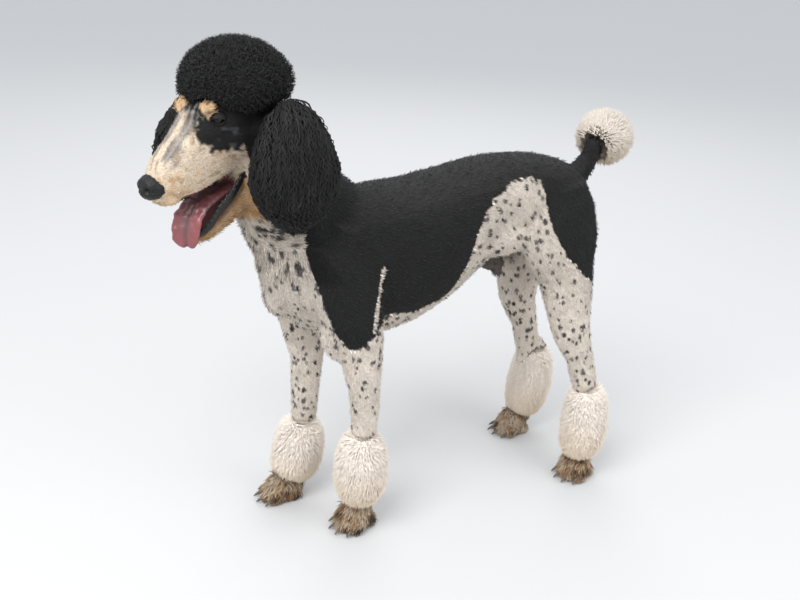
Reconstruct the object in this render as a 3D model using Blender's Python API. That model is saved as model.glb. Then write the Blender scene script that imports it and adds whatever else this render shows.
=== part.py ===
"""A standing standard poodle in a short sporting clip, as a life-size still model.

Frame: the dog faces -Y, its left side is +X, up is +Z and the soles rest on Z = 0.
The whole animal is modelled as one mass of flesh and coat, out to the tips of the
hair, and then parted by thin cuts into the pieces that a person would name. The
ball of hair on the head, the ears, the leg bracelets, the tail pom, the tongue,
the nose, the eyes and the claws are solids of their own, fitted to that mass.
"""

from math import cos, pi, radians, sin

import bmesh
import bpy
import numpy as np
from mathutils import Matrix, Vector

# Driving dimensions, in metres. Below, x and y run from a point between the legs; the
# pieces are set back by MIDDLE, so that the origin is under the middle of the whole dog.
MIDDLE = (-0.0040, -0.0517)
GAP = 0.0003
WITHERS = 0.63
EYE_RADIUS = 0.0115
EYE_PLACE = (0.0345, -0.0010, 0.0095)
SOCKET_PLACE, SOCKET_SIZE = (0.0465, -0.0090, 0.0135), (0.0120, 0.0125, 0.0085)
POM_SIZE = (0.055, 0.053, 0.052)
POM_PLACE = (-0.015, 0.382, 0.666)
EAR_SET = 0.724
VOXEL = 0.0032

# Where the thin cuts start: head and jaw in the head's own axes, neck and tail in the
# dog's, the two corners of the boxes that take off the left legs, and how far each
# foot may reach out in front of its leg's box
HEAD_CUT, JAW_CUT = (0.0, 0.080, -0.100), (0.0, 0.020, -0.091)
NECK_CUT, TAIL_CUT = (0.0, -0.245, 0.545), (0.0, 0.332, 0.610)
LEG_ROOMS = {
    "fore": ((0.040, -0.262, 0.125), (0.2, -0.105, 0.455)),
    "hind": ((0.030, 0.130, 0.115), (0.2, 0.45, 0.530)),
}
FOOT_REACH = 0.12

# The head is turned to the dog's left, nose down, about the point between its eyes
EYE_LINE = Vector((0.014, -0.413, 0.755))
HEAD_YAW, HEAD_PITCH, HEAD_ROLL = 20.0, 20.0, -3.0

# How far each foot stands inward of its plain place, and forward of it (-), the height
# and power of the bend that takes it there, and how far the leg bows back between
STANCE = {
    "fore_left": (0.0, 0.0, 0.42, 1.0, 0.0),
    "fore_right": (0.008, -0.088, 0.42, 1.0, 0.0),
    "hind_left": (0.0, 0.0, 0.42, 1.0, 0.0),
    "hind_right": (0.014, -0.022, 0.48, 2.2, 0.003),
}
SIDES = {"left": 1, "right": -1}

# The advanced right foreleg: heights, how far it reaches forward (-) at each of them,
# and how much deeper from front to back it is than the left
SHOULDER_REACH = (
    (0.10, 0.15, 0.20, 0.24, 0.29, 0.34, 0.39, 0.44, 0.50),
    (0.0, 0.008, 0.001, -0.006, -0.009, -0.020, -0.027, -0.020, 0.0),
)
REACH_DEPTH = 1.12

COLOURS = {
    "black_coat": ((0.022, 0.021, 0.024), 0.75),
    "white_coat": ((0.72, 0.68, 0.60), 0.85),
    "face_coat": ((0.62, 0.50, 0.36), 0.80),
    "stained_coat": ((0.36, 0.25, 0.16), 0.85),
    "lip_skin": ((0.030, 0.027, 0.027), 0.45),
    "nose_skin": ((0.020, 0.020, 0.022), 0.40),
    "tongue_skin": ((0.62, 0.20, 0.22), 0.35),
    "eye_ball": ((0.030, 0.016, 0.010), 0.08),
    "claw_horn": ((0.10, 0.085, 0.070), 0.40),
}


def clear_scene():
    """Remove what the start-up scene holds."""
    for old in list(bpy.data.objects):
        bpy.data.objects.remove(old, do_unlink=True)


def material(name):
    """A Principled material with one of the dog's own colours."""
    made = bpy.data.materials.get(name)
    if made is None:
        colour, roughness = COLOURS[name]
        made = bpy.data.materials.new(name)
        made.use_nodes = True
        shader = made.node_tree.nodes["Principled BSDF"]
        shader.inputs["Base Color"].default_value = (*colour, 1.0)
        shader.inputs["Roughness"].default_value = roughness
        shader.inputs["Metallic"].default_value = 0.0
    return made


def head_matrix():
    """From the head's own axes to the dog's."""
    turn = Matrix.Rotation(radians(HEAD_YAW), 4, "Z")
    turn = turn @ Matrix.Rotation(radians(HEAD_PITCH), 4, "X")
    turn = turn @ Matrix.Rotation(radians(HEAD_ROLL), 4, "Y")
    return Matrix.Translation(EYE_LINE) @ turn


def smooth_rows(rows, steps):
    """Rows of numbers between the given ones, on a curve through all of them."""
    rows = np.array(rows, float)
    ends = np.vstack([2 * rows[0] - rows[1], rows, 2 * rows[-1] - rows[-2]])
    made = []
    for i in range(len(rows) - 1):
        before, a, b, after = ends[i : i + 4]
        for t in np.arange(steps) / steps:
            bend = 2 * a + (b - before) * t
            bend += (2 * before - 5 * a + 4 * b - after) * t**2
            bend += (3 * a - before - 3 * b + after) * t**3
            made.append(bend / 2)
    return np.array(made + [rows[-1]])


def tube(rows, sides=28, steps=5, across=(1, 0, 0), power=2.0, keel=0.0):
    """A closed body along a path, as points and faces.

    Each row is x, y, z, half the width along the across axis, and half the depth
    square to it. The power squares the section off, and the keel narrows its lower
    or front half, where the depth axis points against the path's turn.
    """
    rows = smooth_rows(rows, steps)
    rows[:, 3:] = np.maximum(rows[:, 3:], 0.0008)
    places, sizes = rows[:, :3], rows[:, 3:]
    ways = np.gradient(places, axis=0)
    across = Vector(across).normalized()
    points, faces = [], []
    for place, (wide, deep), way in zip(places, sizes, ways):
        way = Vector(way).normalized()
        side = (across - way * across.dot(way)).normalized()
        up = side.cross(way)
        for k in range(sides):
            angle = 2 * pi * k / sides
            c, s = cos(angle), sin(angle)
            u = abs(c) ** (2 / power) * (1 if c >= 0 else -1)
            v = abs(s) ** (2 / power) * (1 if s >= 0 else -1)
            u *= 1 + keel * v
            points.append(Vector(place) + side * u * wide + up * v * deep)
    count = len(rows)
    for i in range(count - 1):
        for k in range(sides):
            after = (k + 1) % sides
            faces.append((i * sides + k, i * sides + after, (i + 1) * sides + after, (i + 1) * sides + k))
    faces.append(tuple(range(sides - 1, -1, -1)))
    faces.append(tuple((count - 1) * sides + k for k in range(sides)))
    return points, faces


def ball(place, size, turn=(0, 0, 0), rings=18, sides=28):
    """An ellipsoid, as points and faces; turn is in degrees about X, Y and Z."""
    spin = Matrix.Rotation(radians(turn[2]), 3, "Z") @ Matrix.Rotation(radians(turn[1]), 3, "Y")
    spin = spin @ Matrix.Rotation(radians(turn[0]), 3, "X")
    points, faces = [Vector((0, 0, 1))], []
    for i in range(1, rings):
        tilt = pi * i / rings
        for k in range(sides):
            angle = 2 * pi * k / sides
            points.append(Vector((sin(tilt) * cos(angle), sin(tilt) * sin(angle), cos(tilt))))
    points.append(Vector((0, 0, -1)))
    last = len(points) - 1
    for k in range(sides):
        after = (k + 1) % sides
        faces.append((0, 1 + k, 1 + after))
        faces.append((last, last - sides + after, last - sides + k))
        for i in range(rings - 2):
            a, b = 1 + i * sides, 1 + (i + 1) * sides
            faces.append((a + k, b + k, b + after, a + after))
    points = [Vector(place) + spin @ Vector(p * s for p, s in zip(point, size)) for point in points]
    return points, faces


def add(name, bodies, place=None):
    """One helper object from several closed bodies, with their faces pointing out."""
    mesh = bpy.data.meshes.new(name)
    form = bmesh.new()
    for points, faces in bodies:
        made = [form.verts.new(point) for point in points]
        for face in faces:
            form.faces.new([made[i] for i in face])
    if place is not None:
        form.transform(place)
    bmesh.ops.recalc_face_normals(form, faces=form.faces)
    form.to_mesh(mesh)
    form.free()
    return helper(name, mesh)


def helper(name, mesh):
    """A guide or cutter: it is drawn as wire, and it is no part of the dog."""
    made = bpy.data.objects.new(name, mesh)
    made.hide_render = True
    made.display_type = "WIRE"
    bpy.context.scene.collection.objects.link(made)
    return made


def settled(obj, name):
    """The mesh that an object's modifiers give, as a helper of its own."""
    graph = bpy.context.evaluated_depsgraph_get()
    mesh = bpy.data.meshes.new_from_object(obj.evaluated_get(graph))
    mesh.name = name
    bpy.data.objects.remove(obj, do_unlink=True)
    return helper(name, mesh)


def fused(name, parts, rounds=6):
    """One body from overlapping ones, its creases softened as skin softens them."""
    whole = helper(name, bpy.data.meshes.new(name))
    form = bmesh.new()
    for part in parts:
        form.from_mesh(part.data)
        bpy.data.objects.remove(part, do_unlink=True)
    form.to_mesh(whole.data)
    form.free()
    cells = whole.modifiers.new("fuse", "REMESH")
    cells.mode = "VOXEL"
    cells.voxel_size = VOXEL
    soft = whole.modifiers.new("soften", "SMOOTH")
    soft.factor = 0.5
    soft.iterations = rounds
    return settled(whole, name)


def thinned(obj, zones):
    """Fewer triangles: each zone is a test of a place and the number left there."""
    for inside, triangles in zones:
        mesh = obj.data
        chosen = [vert.index for vert in mesh.vertices if inside(vert.co)]
        obj.vertex_groups.clear()
        zone = obj.vertex_groups.new(name="zone")
        zone.add(chosen, 1.0, "REPLACE")
        everywhere = sum(len(face.vertices) - 2 for face in mesh.polygons)
        there = sum(len(face.vertices) - 2 for face in mesh.polygons if inside(face.center))
        fewer = obj.modifiers.new("thin", "DECIMATE")
        fewer.ratio = (everywhere - there + triangles) / everywhere
        fewer.vertex_group = zone.name
        fewer.use_collapse_triangulate = True
        obj = settled(obj, obj.name)
    return obj


def grown(obj, by=GAP):
    """A copy of a body, thicker all round by the gap that neighbours keep."""
    thicker = helper(obj.name + "_grown", obj.data.copy())
    swell = thicker.modifiers.new("swell", "DISPLACE")
    swell.mid_level = 0.0
    swell.strength = by
    return settled(thicker, thicker.name)


def block(name, low, high, place=None, by=0.0):
    """A box between two corners, grown by a gap, as a cutter."""
    low = Vector(low) - Vector((by, by, by))
    high = Vector(high) + Vector((by, by, by))
    points = [(x, y, z) for x in (low.x, high.x) for y in (low.y, high.y) for z in (low.z, high.z)]
    faces = [(0, 1, 3, 2), (4, 6, 7, 5), (0, 4, 5, 1), (2, 3, 7, 6), (0, 2, 6, 4), (1, 5, 7, 3)]
    return add(name, [(points, faces)], place)


def piece(name, source, skin, keep=(), cut=()):
    """A named piece of the dog: a body, kept inside some cutters and outside others."""
    made = bpy.data.objects.new(name, source.data.copy())
    bpy.context.scene.collection.objects.link(made)
    for operation, cutters in (("INTERSECT", keep), ("DIFFERENCE", cut)):
        for cutter in cutters:
            chop = made.modifiers.new(operation.lower(), "BOOLEAN")
            chop.operation = operation
            chop.solver = "EXACT"
            chop.object = cutter
    graph = bpy.context.evaluated_depsgraph_get()
    mesh = bpy.data.meshes.new_from_object(made.evaluated_get(graph))
    made.modifiers.clear()
    made.data = mesh
    mesh.name = name
    mesh.materials.clear()
    mesh.materials.append(material(skin))
    mesh.shade_smooth()
    mesh.set_sharp_from_angle(angle=radians(50))
    made.location = (-MIDDLE[0], -MIDDLE[1], 0)
    return made


def trunk_bodies():
    """Rib cage, loin and croup as one barrel, with the muscles that show over it."""
    outline = [  # y, top, bottom, half width
        (-0.318, 0.500, 0.450, 0.020),
        (-0.303, 0.535, 0.422, 0.048),
        (-0.275, 0.570, 0.397, 0.070),
        (-0.230, 0.602, 0.371, 0.084),
        (-0.170, 0.622, 0.357, 0.092),
        (-0.100, WITHERS, 0.357, 0.097),
        (-0.030, 0.637, 0.386, 0.099),
        (0.040, 0.648, 0.436, 0.093),
        (0.100, 0.656, 0.477, 0.084),
        (0.150, 0.658, 0.486, 0.080),
        (0.200, 0.654, 0.480, 0.083),
        (0.245, 0.643, 0.462, 0.082),
        (0.285, 0.622, 0.466, 0.069),
        (0.315, 0.594, 0.486, 0.047),
        (0.333, 0.566, 0.510, 0.020),
    ]
    rows = [(0, y, (top + low) / 2, wide, (top - low) / 2) for y, top, low, wide in outline]
    bodies = [tube(rows, sides=36, power=2.25, keel=0.12)]
    bodies.append(ball((0, -0.292, 0.458), (0.034, 0.026, 0.046)))
    bodies.append(ball((0, 0.128, 0.456), (0.016, 0.044, 0.024), (-16, 0, 0)))
    bodies.append(ball((0, 0.150, 0.432), (0.011, 0.016, 0.018)))
    for side in SIDES.values():
        bodies.append(ball((side * 0.060, 0.108, 0.516), (0.024, 0.078, 0.034)))
    return bodies


def neck_bodies():
    """The neck, from between the shoulders up into the skull."""
    rows = [
        (0.000, -0.170, 0.500, 0.066, 0.100),
        (0.000, -0.229, 0.560, 0.070, 0.105),
        (0.003, -0.274, 0.618, 0.062, 0.092),
        (0.006, -0.302, 0.672, 0.057, 0.074),
        (0.010, -0.326, 0.718, 0.052, 0.064),
        (0.012, -0.346, 0.756, 0.046, 0.054),
    ]
    return [tube(rows, sides=30)]


def tail_bodies():
    """The short dock that carries the pom."""
    rows = [
        (0, 0.285, 0.575, 0.038, 0.032),
        (0, 0.315, 0.604, 0.028, 0.026),
        (0, 0.337, 0.630, 0.0225, 0.0225),
        (0, 0.347, 0.653, 0.0215, 0.0215),
        (0, 0.351, 0.668, 0.017, 0.017),
        (0, 0.352, 0.677, 0.009, 0.009),
    ]
    return [tube(rows, sides=20)]


def stepped(rows, leg):
    """Leg rows for one side, leaning ever more below the bend to set the foot."""
    inward, forward, start, power, bow = STANCE[leg]
    side = SIDES[leg.split("_")[1]]
    moved = []
    for x, y, z, wide, deep in rows:
        below = max(0.0, (start - z) / start)
        lean, back = below**power, bow * sin(pi * below)
        moved.append((side * (x - inward * lean), y + forward * lean + back, z, wide, deep))
    return moved


def foreleg_bodies(name):
    """Shoulder, upper arm, forearm, knee and pastern, down into the foot."""
    rows = [
        (0.052, -0.178, 0.575, 0.030, 0.055),
        (0.064, -0.192, 0.500, 0.038, 0.070),
        (0.073, -0.188, 0.440, 0.040, 0.060),
        (0.080, -0.177, 0.390, 0.036, 0.047),
        (0.082, -0.170, 0.340, 0.030, 0.037),
        (0.082, -0.164, 0.290, 0.0265, 0.0300),
        (0.080, -0.160, 0.240, 0.024, 0.0260),
        (0.079, -0.160, 0.195, 0.0225, 0.0235),
        (0.079, -0.161, 0.150, 0.019, 0.022),
        (0.077, -0.160, 0.100, 0.018, 0.020),
        (0.075, -0.161, 0.060, 0.021, 0.022),
        (0.074, -0.166, 0.034, 0.026, 0.026),
    ]
    rows = stepped(rows, "fore_" + name)
    if name == "right":
        reach = [np.interp(row[2], *SHOULDER_REACH) for row in rows]
        rows = [(x, y + r, z, w, d * REACH_DEPTH) for (x, y, z, w, d), r in zip(rows, reach)]
    bodies = [tube(rows, sides=26), ball((SIDES[name] * 0.090, -0.155, 0.388), (0.021, 0.020, 0.028))]
    if name == "right":
        bodies.append(ball((-0.072, -0.219, 0.380), (0.028, 0.040, 0.070), (4, 0, 0)))
    else:
        bodies.append(ball((0.066, -0.203, 0.394), (0.028, 0.040, 0.056), (6, 0, 0)))
    return bodies


def hindleg_bodies(name):
    """Thigh, stifle, second thigh, hock and the upright bone below it."""
    rows = [
        (0.050, 0.228, 0.600, 0.032, 0.068),
        (0.060, 0.237, 0.545, 0.042, 0.081),
        (0.068, 0.240, 0.490, 0.047, 0.083),
        (0.076, 0.2535, 0.435, 0.045, 0.0615),
        (0.083, 0.2625, 0.380, 0.039, 0.0495),
        (0.089, 0.2725, 0.325, 0.033, 0.0410),
        (0.093, 0.2955, 0.272, 0.027, 0.0310),
        (0.096, 0.3110, 0.225, 0.024, 0.0285),
        (0.098, 0.3215, 0.185, 0.022, 0.0260),
        (0.100, 0.323, 0.140, 0.019, 0.022),
        (0.102, 0.322, 0.090, 0.018, 0.020),
        (0.104, 0.321, 0.050, 0.021, 0.023),
        (0.106, 0.318, 0.030, 0.025, 0.026),
    ]
    bodies = [tube(stepped(rows, "hind_" + name), sides=26)]
    if name == "right":
        bodies.append(ball((-0.086, 0.347, 0.186), (0.014, 0.020, 0.052), (24, 0, 0)))
    return bodies


def foot_place(end, name):
    """Where a foot's middle stands on the floor, and which way its toes point."""
    side = SIDES[name]
    plain = (0.073, -0.164) if end == "fore" else (0.106, 0.320)
    inward, forward = STANCE[f"{end}_{name}"][:2]
    x, y = plain[0] - inward, plain[1] + forward
    turn = Matrix.Rotation(radians(8 * side), 4, "Z")
    return Matrix.Translation((side * x, y, 0)) @ turn


# Each toe: how far across the foot, how far ahead, and how it splays, in degrees
TOES = ((-0.0235, -0.010, 14), (-0.0085, -0.022, 4), (0.0085, -0.022, -4), (0.0235, -0.010, -14))


def toe_rows(across, ahead):
    """One toe in the foot's own axes, from the pastern over the knuckle to the pad."""
    return [
        (across * 0.45, 0.004, 0.034, 0.012, 0.013),
        (across * 0.80, ahead * 0.6, 0.031, 0.012, 0.0125),
        (across, ahead, 0.021, 0.0115, 0.0125),
        (across * 1.06, ahead - 0.010, 0.012, 0.0105, 0.0115),
        (across * 1.08, ahead - 0.017, 0.008, 0.006, 0.007),
    ]


def paw_bodies():
    """Four toes and the pads, in the foot's own axes; the floor trims the soles."""
    bodies = [tube(toe_rows(across, ahead), sides=18) for across, ahead, _ in TOES]
    bodies.append(ball((0, 0.010, 0.012), (0.024, 0.026, 0.018)))
    bodies.append(ball((0, 0.000, 0.030), (0.024, 0.022, 0.018)))
    return bodies


def claw_bodies(across, ahead, splay):
    """One claw: a short horn that curves out of the toe and down."""
    root = Vector((across * 1.08, ahead - 0.014, 0.0125))
    way = Matrix.Rotation(radians(-splay), 3, "Z") @ Vector((0, -1, 0))
    rows = []
    for t, radius in ((0, 0.0040), (0.6, 0.0034), (1, 0.0011)):
        place = root + way * 0.019 * t + Vector((0, 0, -0.0085 * t * t))
        rows.append((*place, radius, radius * 1.1))
    return [tube(rows, sides=5, steps=1)]


def skull_bodies():
    """The head in its own axes: skull, brows, cheeks, and the long deep muzzle."""
    muzzle = [  # y, top, bottom, half width
        (0.085, 0.046, -0.060, 0.044),
        (0.055, 0.047, -0.084, 0.051),
        (0.030, 0.043, -0.090, 0.051),
        (0.010, 0.037, -0.091, 0.047),
        (-0.010, 0.029, -0.092, 0.042),
        (-0.030, 0.019, -0.093, 0.0375),
        (-0.055, 0.008, -0.093, 0.0340),
        (-0.078, 0.001, -0.091, 0.0312),
        (-0.097, -0.006, -0.085, 0.0280),
        (-0.109, -0.011, -0.080, 0.0235),
        (-0.119, -0.0155, -0.074, 0.0200),
        (-0.127, -0.0205, -0.064, 0.0150),
        (-0.132, -0.029, -0.052, 0.0070),
    ]
    rows = [(0, y, (top + low) / 2, wide, (top - low) / 2) for y, top, low, wide in muzzle]
    bodies = [tube(rows, sides=36, power=2.5, keel=-0.16)]
    bodies.append(ball((0, 0.062, 0.000), (0.055, 0.074, 0.054)))
    bodies.append(ball((0, -0.106, -0.070), (0.0245, 0.020, 0.014)))
    for side in (1, -1):
        bodies.append(ball((side * 0.0265, -0.004, 0.0245), (0.0165, 0.0180, 0.0140)))
        bodies.append(ball((side * 0.036, 0.040, -0.038), (0.019, 0.045, 0.036)))
    return bodies


def jaw_bodies():
    """The dropped lower jaw in the head's axes, hinged below the ears."""
    outline = [  # y, top, bottom, half width
        (0.066, -0.050, -0.128, 0.036),
        (0.040, -0.072, -0.143, 0.040),
        (0.014, -0.098, -0.149, 0.037),
        (-0.010, -0.117, -0.155, 0.032),
        (-0.035, -0.130, -0.160, 0.027),
        (-0.060, -0.138, -0.164, 0.0235),
        (-0.082, -0.144, -0.163, 0.0195),
        (-0.096, -0.149, -0.159, 0.0110),
    ]
    rows = [(0, y, (top + low) / 2, wide, (top - low) / 2) for y, top, low, wide in outline]
    throat = ball((0, 0.062, -0.096), (0.040, 0.050, 0.050))
    return [tube(rows, sides=28, power=2.3), throat]


def eye_body(side):
    """One eyeball, in the head's axes."""
    x, y, z = EYE_PLACE
    return ball((side * x, y, z), (EYE_RADIUS,) * 3, rings=6, sides=10)


def socket_body(side):
    """The opening of the lids in front of one eye, in the head's axes."""
    x, y, z = SOCKET_PLACE
    return ball((side * x, y, z), SOCKET_SIZE, rings=6, sides=10)


def mouth_hollow():
    """The palate: the room inside the upper lips, in the head's axes."""
    rows = [
        (0, 0.004, -0.104, 0.024, 0.020),
        (0, -0.030, -0.104, 0.026, 0.024),
        (0, -0.070, -0.101, 0.0235, 0.024),
        (0, -0.100, -0.093, 0.019, 0.022),
        (0, -0.118, -0.082, 0.012, 0.016),
    ]
    return [tube(rows, sides=12, steps=1)]


def tongue_bodies():
    """The tongue: out over the lower teeth and down past the chin, rolled to the left."""
    rows = [
        (0.001, 0.010, -0.111, 0.0170, 0.0065),
        (0.003, -0.020, -0.109, 0.0200, 0.0065),
        (0.005, -0.050, -0.105, 0.0225, 0.0060),
        (0.007, -0.074, -0.105, 0.0240, 0.0055),
        (0.008, -0.092, -0.114, 0.0240, 0.0050),
        (0.008, -0.1045, -0.130, 0.0235, 0.0045),
        (0.008, -0.1105, -0.146, 0.0210, 0.0042),
        (0.008, -0.1115, -0.156, 0.0120, 0.0030),
    ]
    return [tube(rows, sides=10, steps=1, across=(1, 0.45, -0.1), power=2.3)]


def nose_bodies():
    """The nose pad, broad and square in front."""
    rows = [
        (0, -0.094, -0.042, 0.0170, 0.0150),
        (0, -0.110, -0.042, 0.0215, 0.0190),
        (0, -0.126, -0.0415, 0.0215, 0.0195),
        (0, -0.137, -0.040, 0.0180, 0.0160),
        (0, -0.1425, -0.039, 0.0080, 0.0075),
    ]
    return [tube(rows, sides=14, steps=1, power=2.3, keel=0.12)]


def ear_bodies(name):
    """The ear leather and its long hair as one hanging, flattened drop."""
    if name == "left":
        middle, across, lean, sunk, longer = (0.083, -0.300), (1, -0.05, 0), 1.0, 0.0, 1.0
    else:
        middle, lean, sunk, longer = (-0.110, -0.392), 2.2, 0.45, 1.04
        across = (cos(radians(HEAD_YAW)), sin(radians(HEAD_YAW)), 0)
    outline = [  # z, in (-) from the middle, back from it, half thickness, half length
        (0.796, -0.016, -0.018, 0.012, 0.020),
        (0.782, -0.010, -0.014, 0.023, 0.034),
        (0.757, -0.004, -0.006, 0.032, 0.049),
        (0.724, 0.000, -0.002, 0.037, 0.063),
        (0.692, 0.001, 0.001, 0.039, 0.072),
        (0.660, 0.001, 0.001, 0.039, 0.073),
        (0.634, 0.000, -0.005, 0.036, 0.063),
        (0.612, -0.003, -0.014, 0.027, 0.046),
        (0.598, -0.006, -0.022, 0.010, 0.018),
    ]
    side = SIDES[name]
    rows = []
    for z, outward, back, thick, long in outline:
        x, y = middle
        z -= sunk * max(0.0, z - EAR_SET)
        rows.append((x + side * outward * lean, y + back, z, thick, long * longer))
    return [tube(rows, sides=16, steps=1, across=across, power=2.2)]


def topknot_bodies():
    """The clipped ball of hair on the skull: flat below, domed above, and level."""
    outline = [  # z, back from the middle, half width, half length
        (0.764, 0.007, 0.044, 0.044),
        (0.771, 0.007, 0.069, 0.071),
        (0.782, 0.006, 0.082, 0.086),
        (0.801, 0.002, 0.088, 0.093),
        (0.827, 0.000, 0.085, 0.089),
        (0.850, 0.000, 0.069, 0.072),
        (0.867, 0.000, 0.046, 0.047),
        (0.876, 0.000, 0.018, 0.018),
    ]
    rows = [(-0.006, back - 0.359, z, wide, long) for z, back, wide, long in outline]
    across = (cos(radians(HEAD_YAW)), sin(radians(HEAD_YAW)), 0)
    return [tube(rows, sides=24, steps=1, across=across)]


def bracelet_bodies(end, name):
    """A scissored puff of hair round the pastern, shorter where the leg steps out."""
    fore_rows = [
        (0.079, -0.162, 0.198, 0.024, 0.026),
        (0.079, -0.162, 0.180, 0.038, 0.040),
        (0.079, -0.162, 0.152, 0.046, 0.048),
        (0.078, -0.162, 0.120, 0.048, 0.050),
        (0.077, -0.162, 0.088, 0.045, 0.047),
        (0.076, -0.162, 0.064, 0.035, 0.037),
        (0.075, -0.162, 0.051, 0.018, 0.020),
    ]
    hind_rows = [
        (0.098, 0.325, 0.198, 0.024, 0.028),
        (0.099, 0.326, 0.178, 0.036, 0.041),
        (0.100, 0.327, 0.147, 0.044, 0.048),
        (0.102, 0.326, 0.112, 0.046, 0.049),
        (0.103, 0.323, 0.078, 0.043, 0.046),
        (0.104, 0.320, 0.053, 0.034, 0.037),
        (0.105, 0.319, 0.040, 0.018, 0.020),
    ]
    rows = fore_rows if end == "fore" else hind_rows
    if (end, name) == ("fore", "right"):
        rows = [(x, y + 0.010, z * 0.85 - 0.010, wide, deep) for x, y, z, wide, deep in rows]
    if (end, name) == ("hind", "right"):
        rows = [(x, y + 0.015, z, wide, deep) for x, y, z, wide, deep in rows]
    return [tube(stepped(rows, f"{end}_{name}"), sides=14, steps=1)]


def on_face(place):
    """The muzzle, mouth and brows, where the shape is finest."""
    return (place - head_matrix() @ Vector((0, -0.045, -0.050))).length < 0.125


def on_foot(place):
    return place.z < 0.062


def on_body(place):
    return not on_face(place) and not on_foot(place)


ZONES = ((on_body, 1580), (on_foot, 340), (on_face, 880))


def flesh():
    """The whole animal without its long hair, nose, eyes, tongue and claws."""
    head = head_matrix()
    parts = [add("trunk_form", trunk_bodies()), add("neck_form", neck_bodies())]
    parts.append(add("tail_form", tail_bodies()))
    for name in SIDES:
        parts.append(add("foreleg_form", foreleg_bodies(name)))
        parts.append(add("hindleg_form", hindleg_bodies(name)))
        for end in ("fore", "hind"):
            parts.append(add("paw_form", paw_bodies(), foot_place(end, name)))
    parts.append(add("skull_form", skull_bodies(), head))
    parts.append(add("jaw_form", jaw_bodies(), head))
    return thinned(fused("flesh", parts), ZONES)


def room(name, low, high, place=None):
    """A box that keeps one piece, and its grown twin that clears the neighbours."""
    return block(name + "_room", low, high, place), block(name + "_room_grown", low, high, place, GAP)


def tilted(place, degrees):
    """The axes of a cut: where it starts, and its tilt about the X axis."""
    return Matrix.Translation(place) @ Matrix.Rotation(radians(degrees), 4, "X")


def build_hair(body_grown):
    """The scissored shapes: pom, bracelets, topknot and ears. Gives the cuts they need."""
    pom = add("pom_form", [ball(POM_PLACE, POM_SIZE, rings=9, sides=16)])
    piece("tail_pom", pom, "white_coat", cut=[body_grown])
    cuts = {}
    for end in ("fore", "hind"):
        for name in SIDES:
            cuff = add("bracelet_form", bracelet_bodies(end, name))
            piece(f"bracelet_{end}_{name}", cuff, "white_coat")
            cuts[end, name] = grown(cuff)
    topknot = add("topknot_form", topknot_bodies())
    eyes_grown = grown(add("eye_forms", [eye_body(side) for side in SIDES.values()], head_matrix()))
    piece("topknot", topknot, "black_coat", cut=[body_grown, eyes_grown])
    topknot_grown = grown(topknot, 4 * GAP)
    for name in SIDES:
        ear = add("ear_form", ear_bodies(name))
        piece("ear_" + name, ear, "black_coat", cut=[body_grown, topknot_grown])
    return cuts


def build_head(body, body_grown):
    """Head and lower jaw, with nose, tongue and eyes. Gives the cut that ends the neck."""
    axes = head_matrix()
    head_room, head_grown = room("head", (-0.2, -0.4, -0.3), (0.2, 0, 0.3), axes @ tilted(HEAD_CUT, -40))
    jaw_room, jaw_grown = room("jaw", (-0.2, -0.2, -0.12), (0.2, 0, 0), axes @ tilted(JAW_CUT, 13))
    cuts = [jaw_grown, add("mouth_hollow", mouth_hollow(), axes)]
    cuts.append(add("eye_sockets", [socket_body(side) for side in SIDES.values()], axes))
    for name, side in SIDES.items():
        eye = add("eye_form", [eye_body(side)], axes)
        piece("eye_" + name, eye, "eye_ball")
        cuts.append(grown(eye))
    piece("nose", add("nose_form", nose_bodies(), axes), "nose_skin", cut=[body_grown])
    piece("tongue", add("tongue_form", tongue_bodies(), axes), "tongue_skin", cut=[body_grown])
    piece("head", body, "face_coat", [head_room], cuts)
    piece("jaw_lower", body, "lip_skin", [jaw_room, head_room])
    return head_grown


def build_leg(end, name, body, body_grown, cuff, floor):
    """Leg, paw and claws of one foot. Gives the cut that clears the trunk of the leg."""
    low, high = LEG_ROOMS[end]
    if SIDES[name] < 0:
        low, high = (-high[0], low[1], low[2]), (-low[0], high[1], high[2])
    leg_room, leg_grown = room(f"{end}leg_{name}", low, high)
    piece(f"{end}leg_{name}", body, "white_coat", [leg_room], [cuff])
    toes = (low[0], low[1] - FOOT_REACH, -0.1)
    foot_room = block(f"paw_{end}_{name}_room", toes, (high[0], high[1], low[2]))
    piece(f"paw_{end}_{name}", body, "stained_coat", [foot_room], [cuff, floor])
    for k, toe in enumerate(TOES):
        claw = add("claw_form", claw_bodies(*toe), foot_place(end, name))
        piece(f"claw_{end}_{name}_{k + 1}", claw, "claw_horn", cut=[body_grown, floor])
    return leg_grown


def build():
    clear_scene()
    body = flesh()
    body_grown = grown(body)
    floor = block("floor", (-1, -1, -0.2), (1, 1, 0))
    cuts = build_hair(body_grown)
    head_grown = build_head(body, body_grown)
    neck_room, neck_grown = room("neck", (-0.2, -0.3, 0), (0.2, 0.3, 0.5), tilted(NECK_CUT, 37))
    tail_room, tail_grown = room("tail", (-0.1, -0.1, 0), (0.1, 0.1, 0.2), tilted(TAIL_CUT, -35))
    piece("neck", body, "white_coat", [neck_room], [head_grown])
    piece("tail", body, "black_coat", [tail_room])
    legs = [
        build_leg(end, name, body, body_grown, cuts[end, name], floor)
        for end in ("fore", "hind")
        for name in SIDES
    ]
    above_feet = block("trunk_room", (-0.3, -0.5, 0.30), (0.3, 0.5, 0.8))
    piece("trunk", body, "black_coat", [above_feet], [neck_grown, tail_grown, *legs])


build()
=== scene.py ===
# %% [markdown]
# # A standing poodle in a sporting clip
# This lesson builds the looks of a life-size still poodle around a frame of plain solids. One
# skin takes the place of the solids of flesh, and the coat grows on it as thousands of small
# closed tufts, because hair made of curves or particles would be lost when the model leaves
# Blender. The frame gives every place and size, so it is loaded first.

# %% Load the frame
from math import cos, pi, radians, sin

import bpy
import numpy as np
from mathutils import Matrix, Vector
from mathutils.bvhtree import BVHTree
from mathutils.kdtree import KDTree


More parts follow.
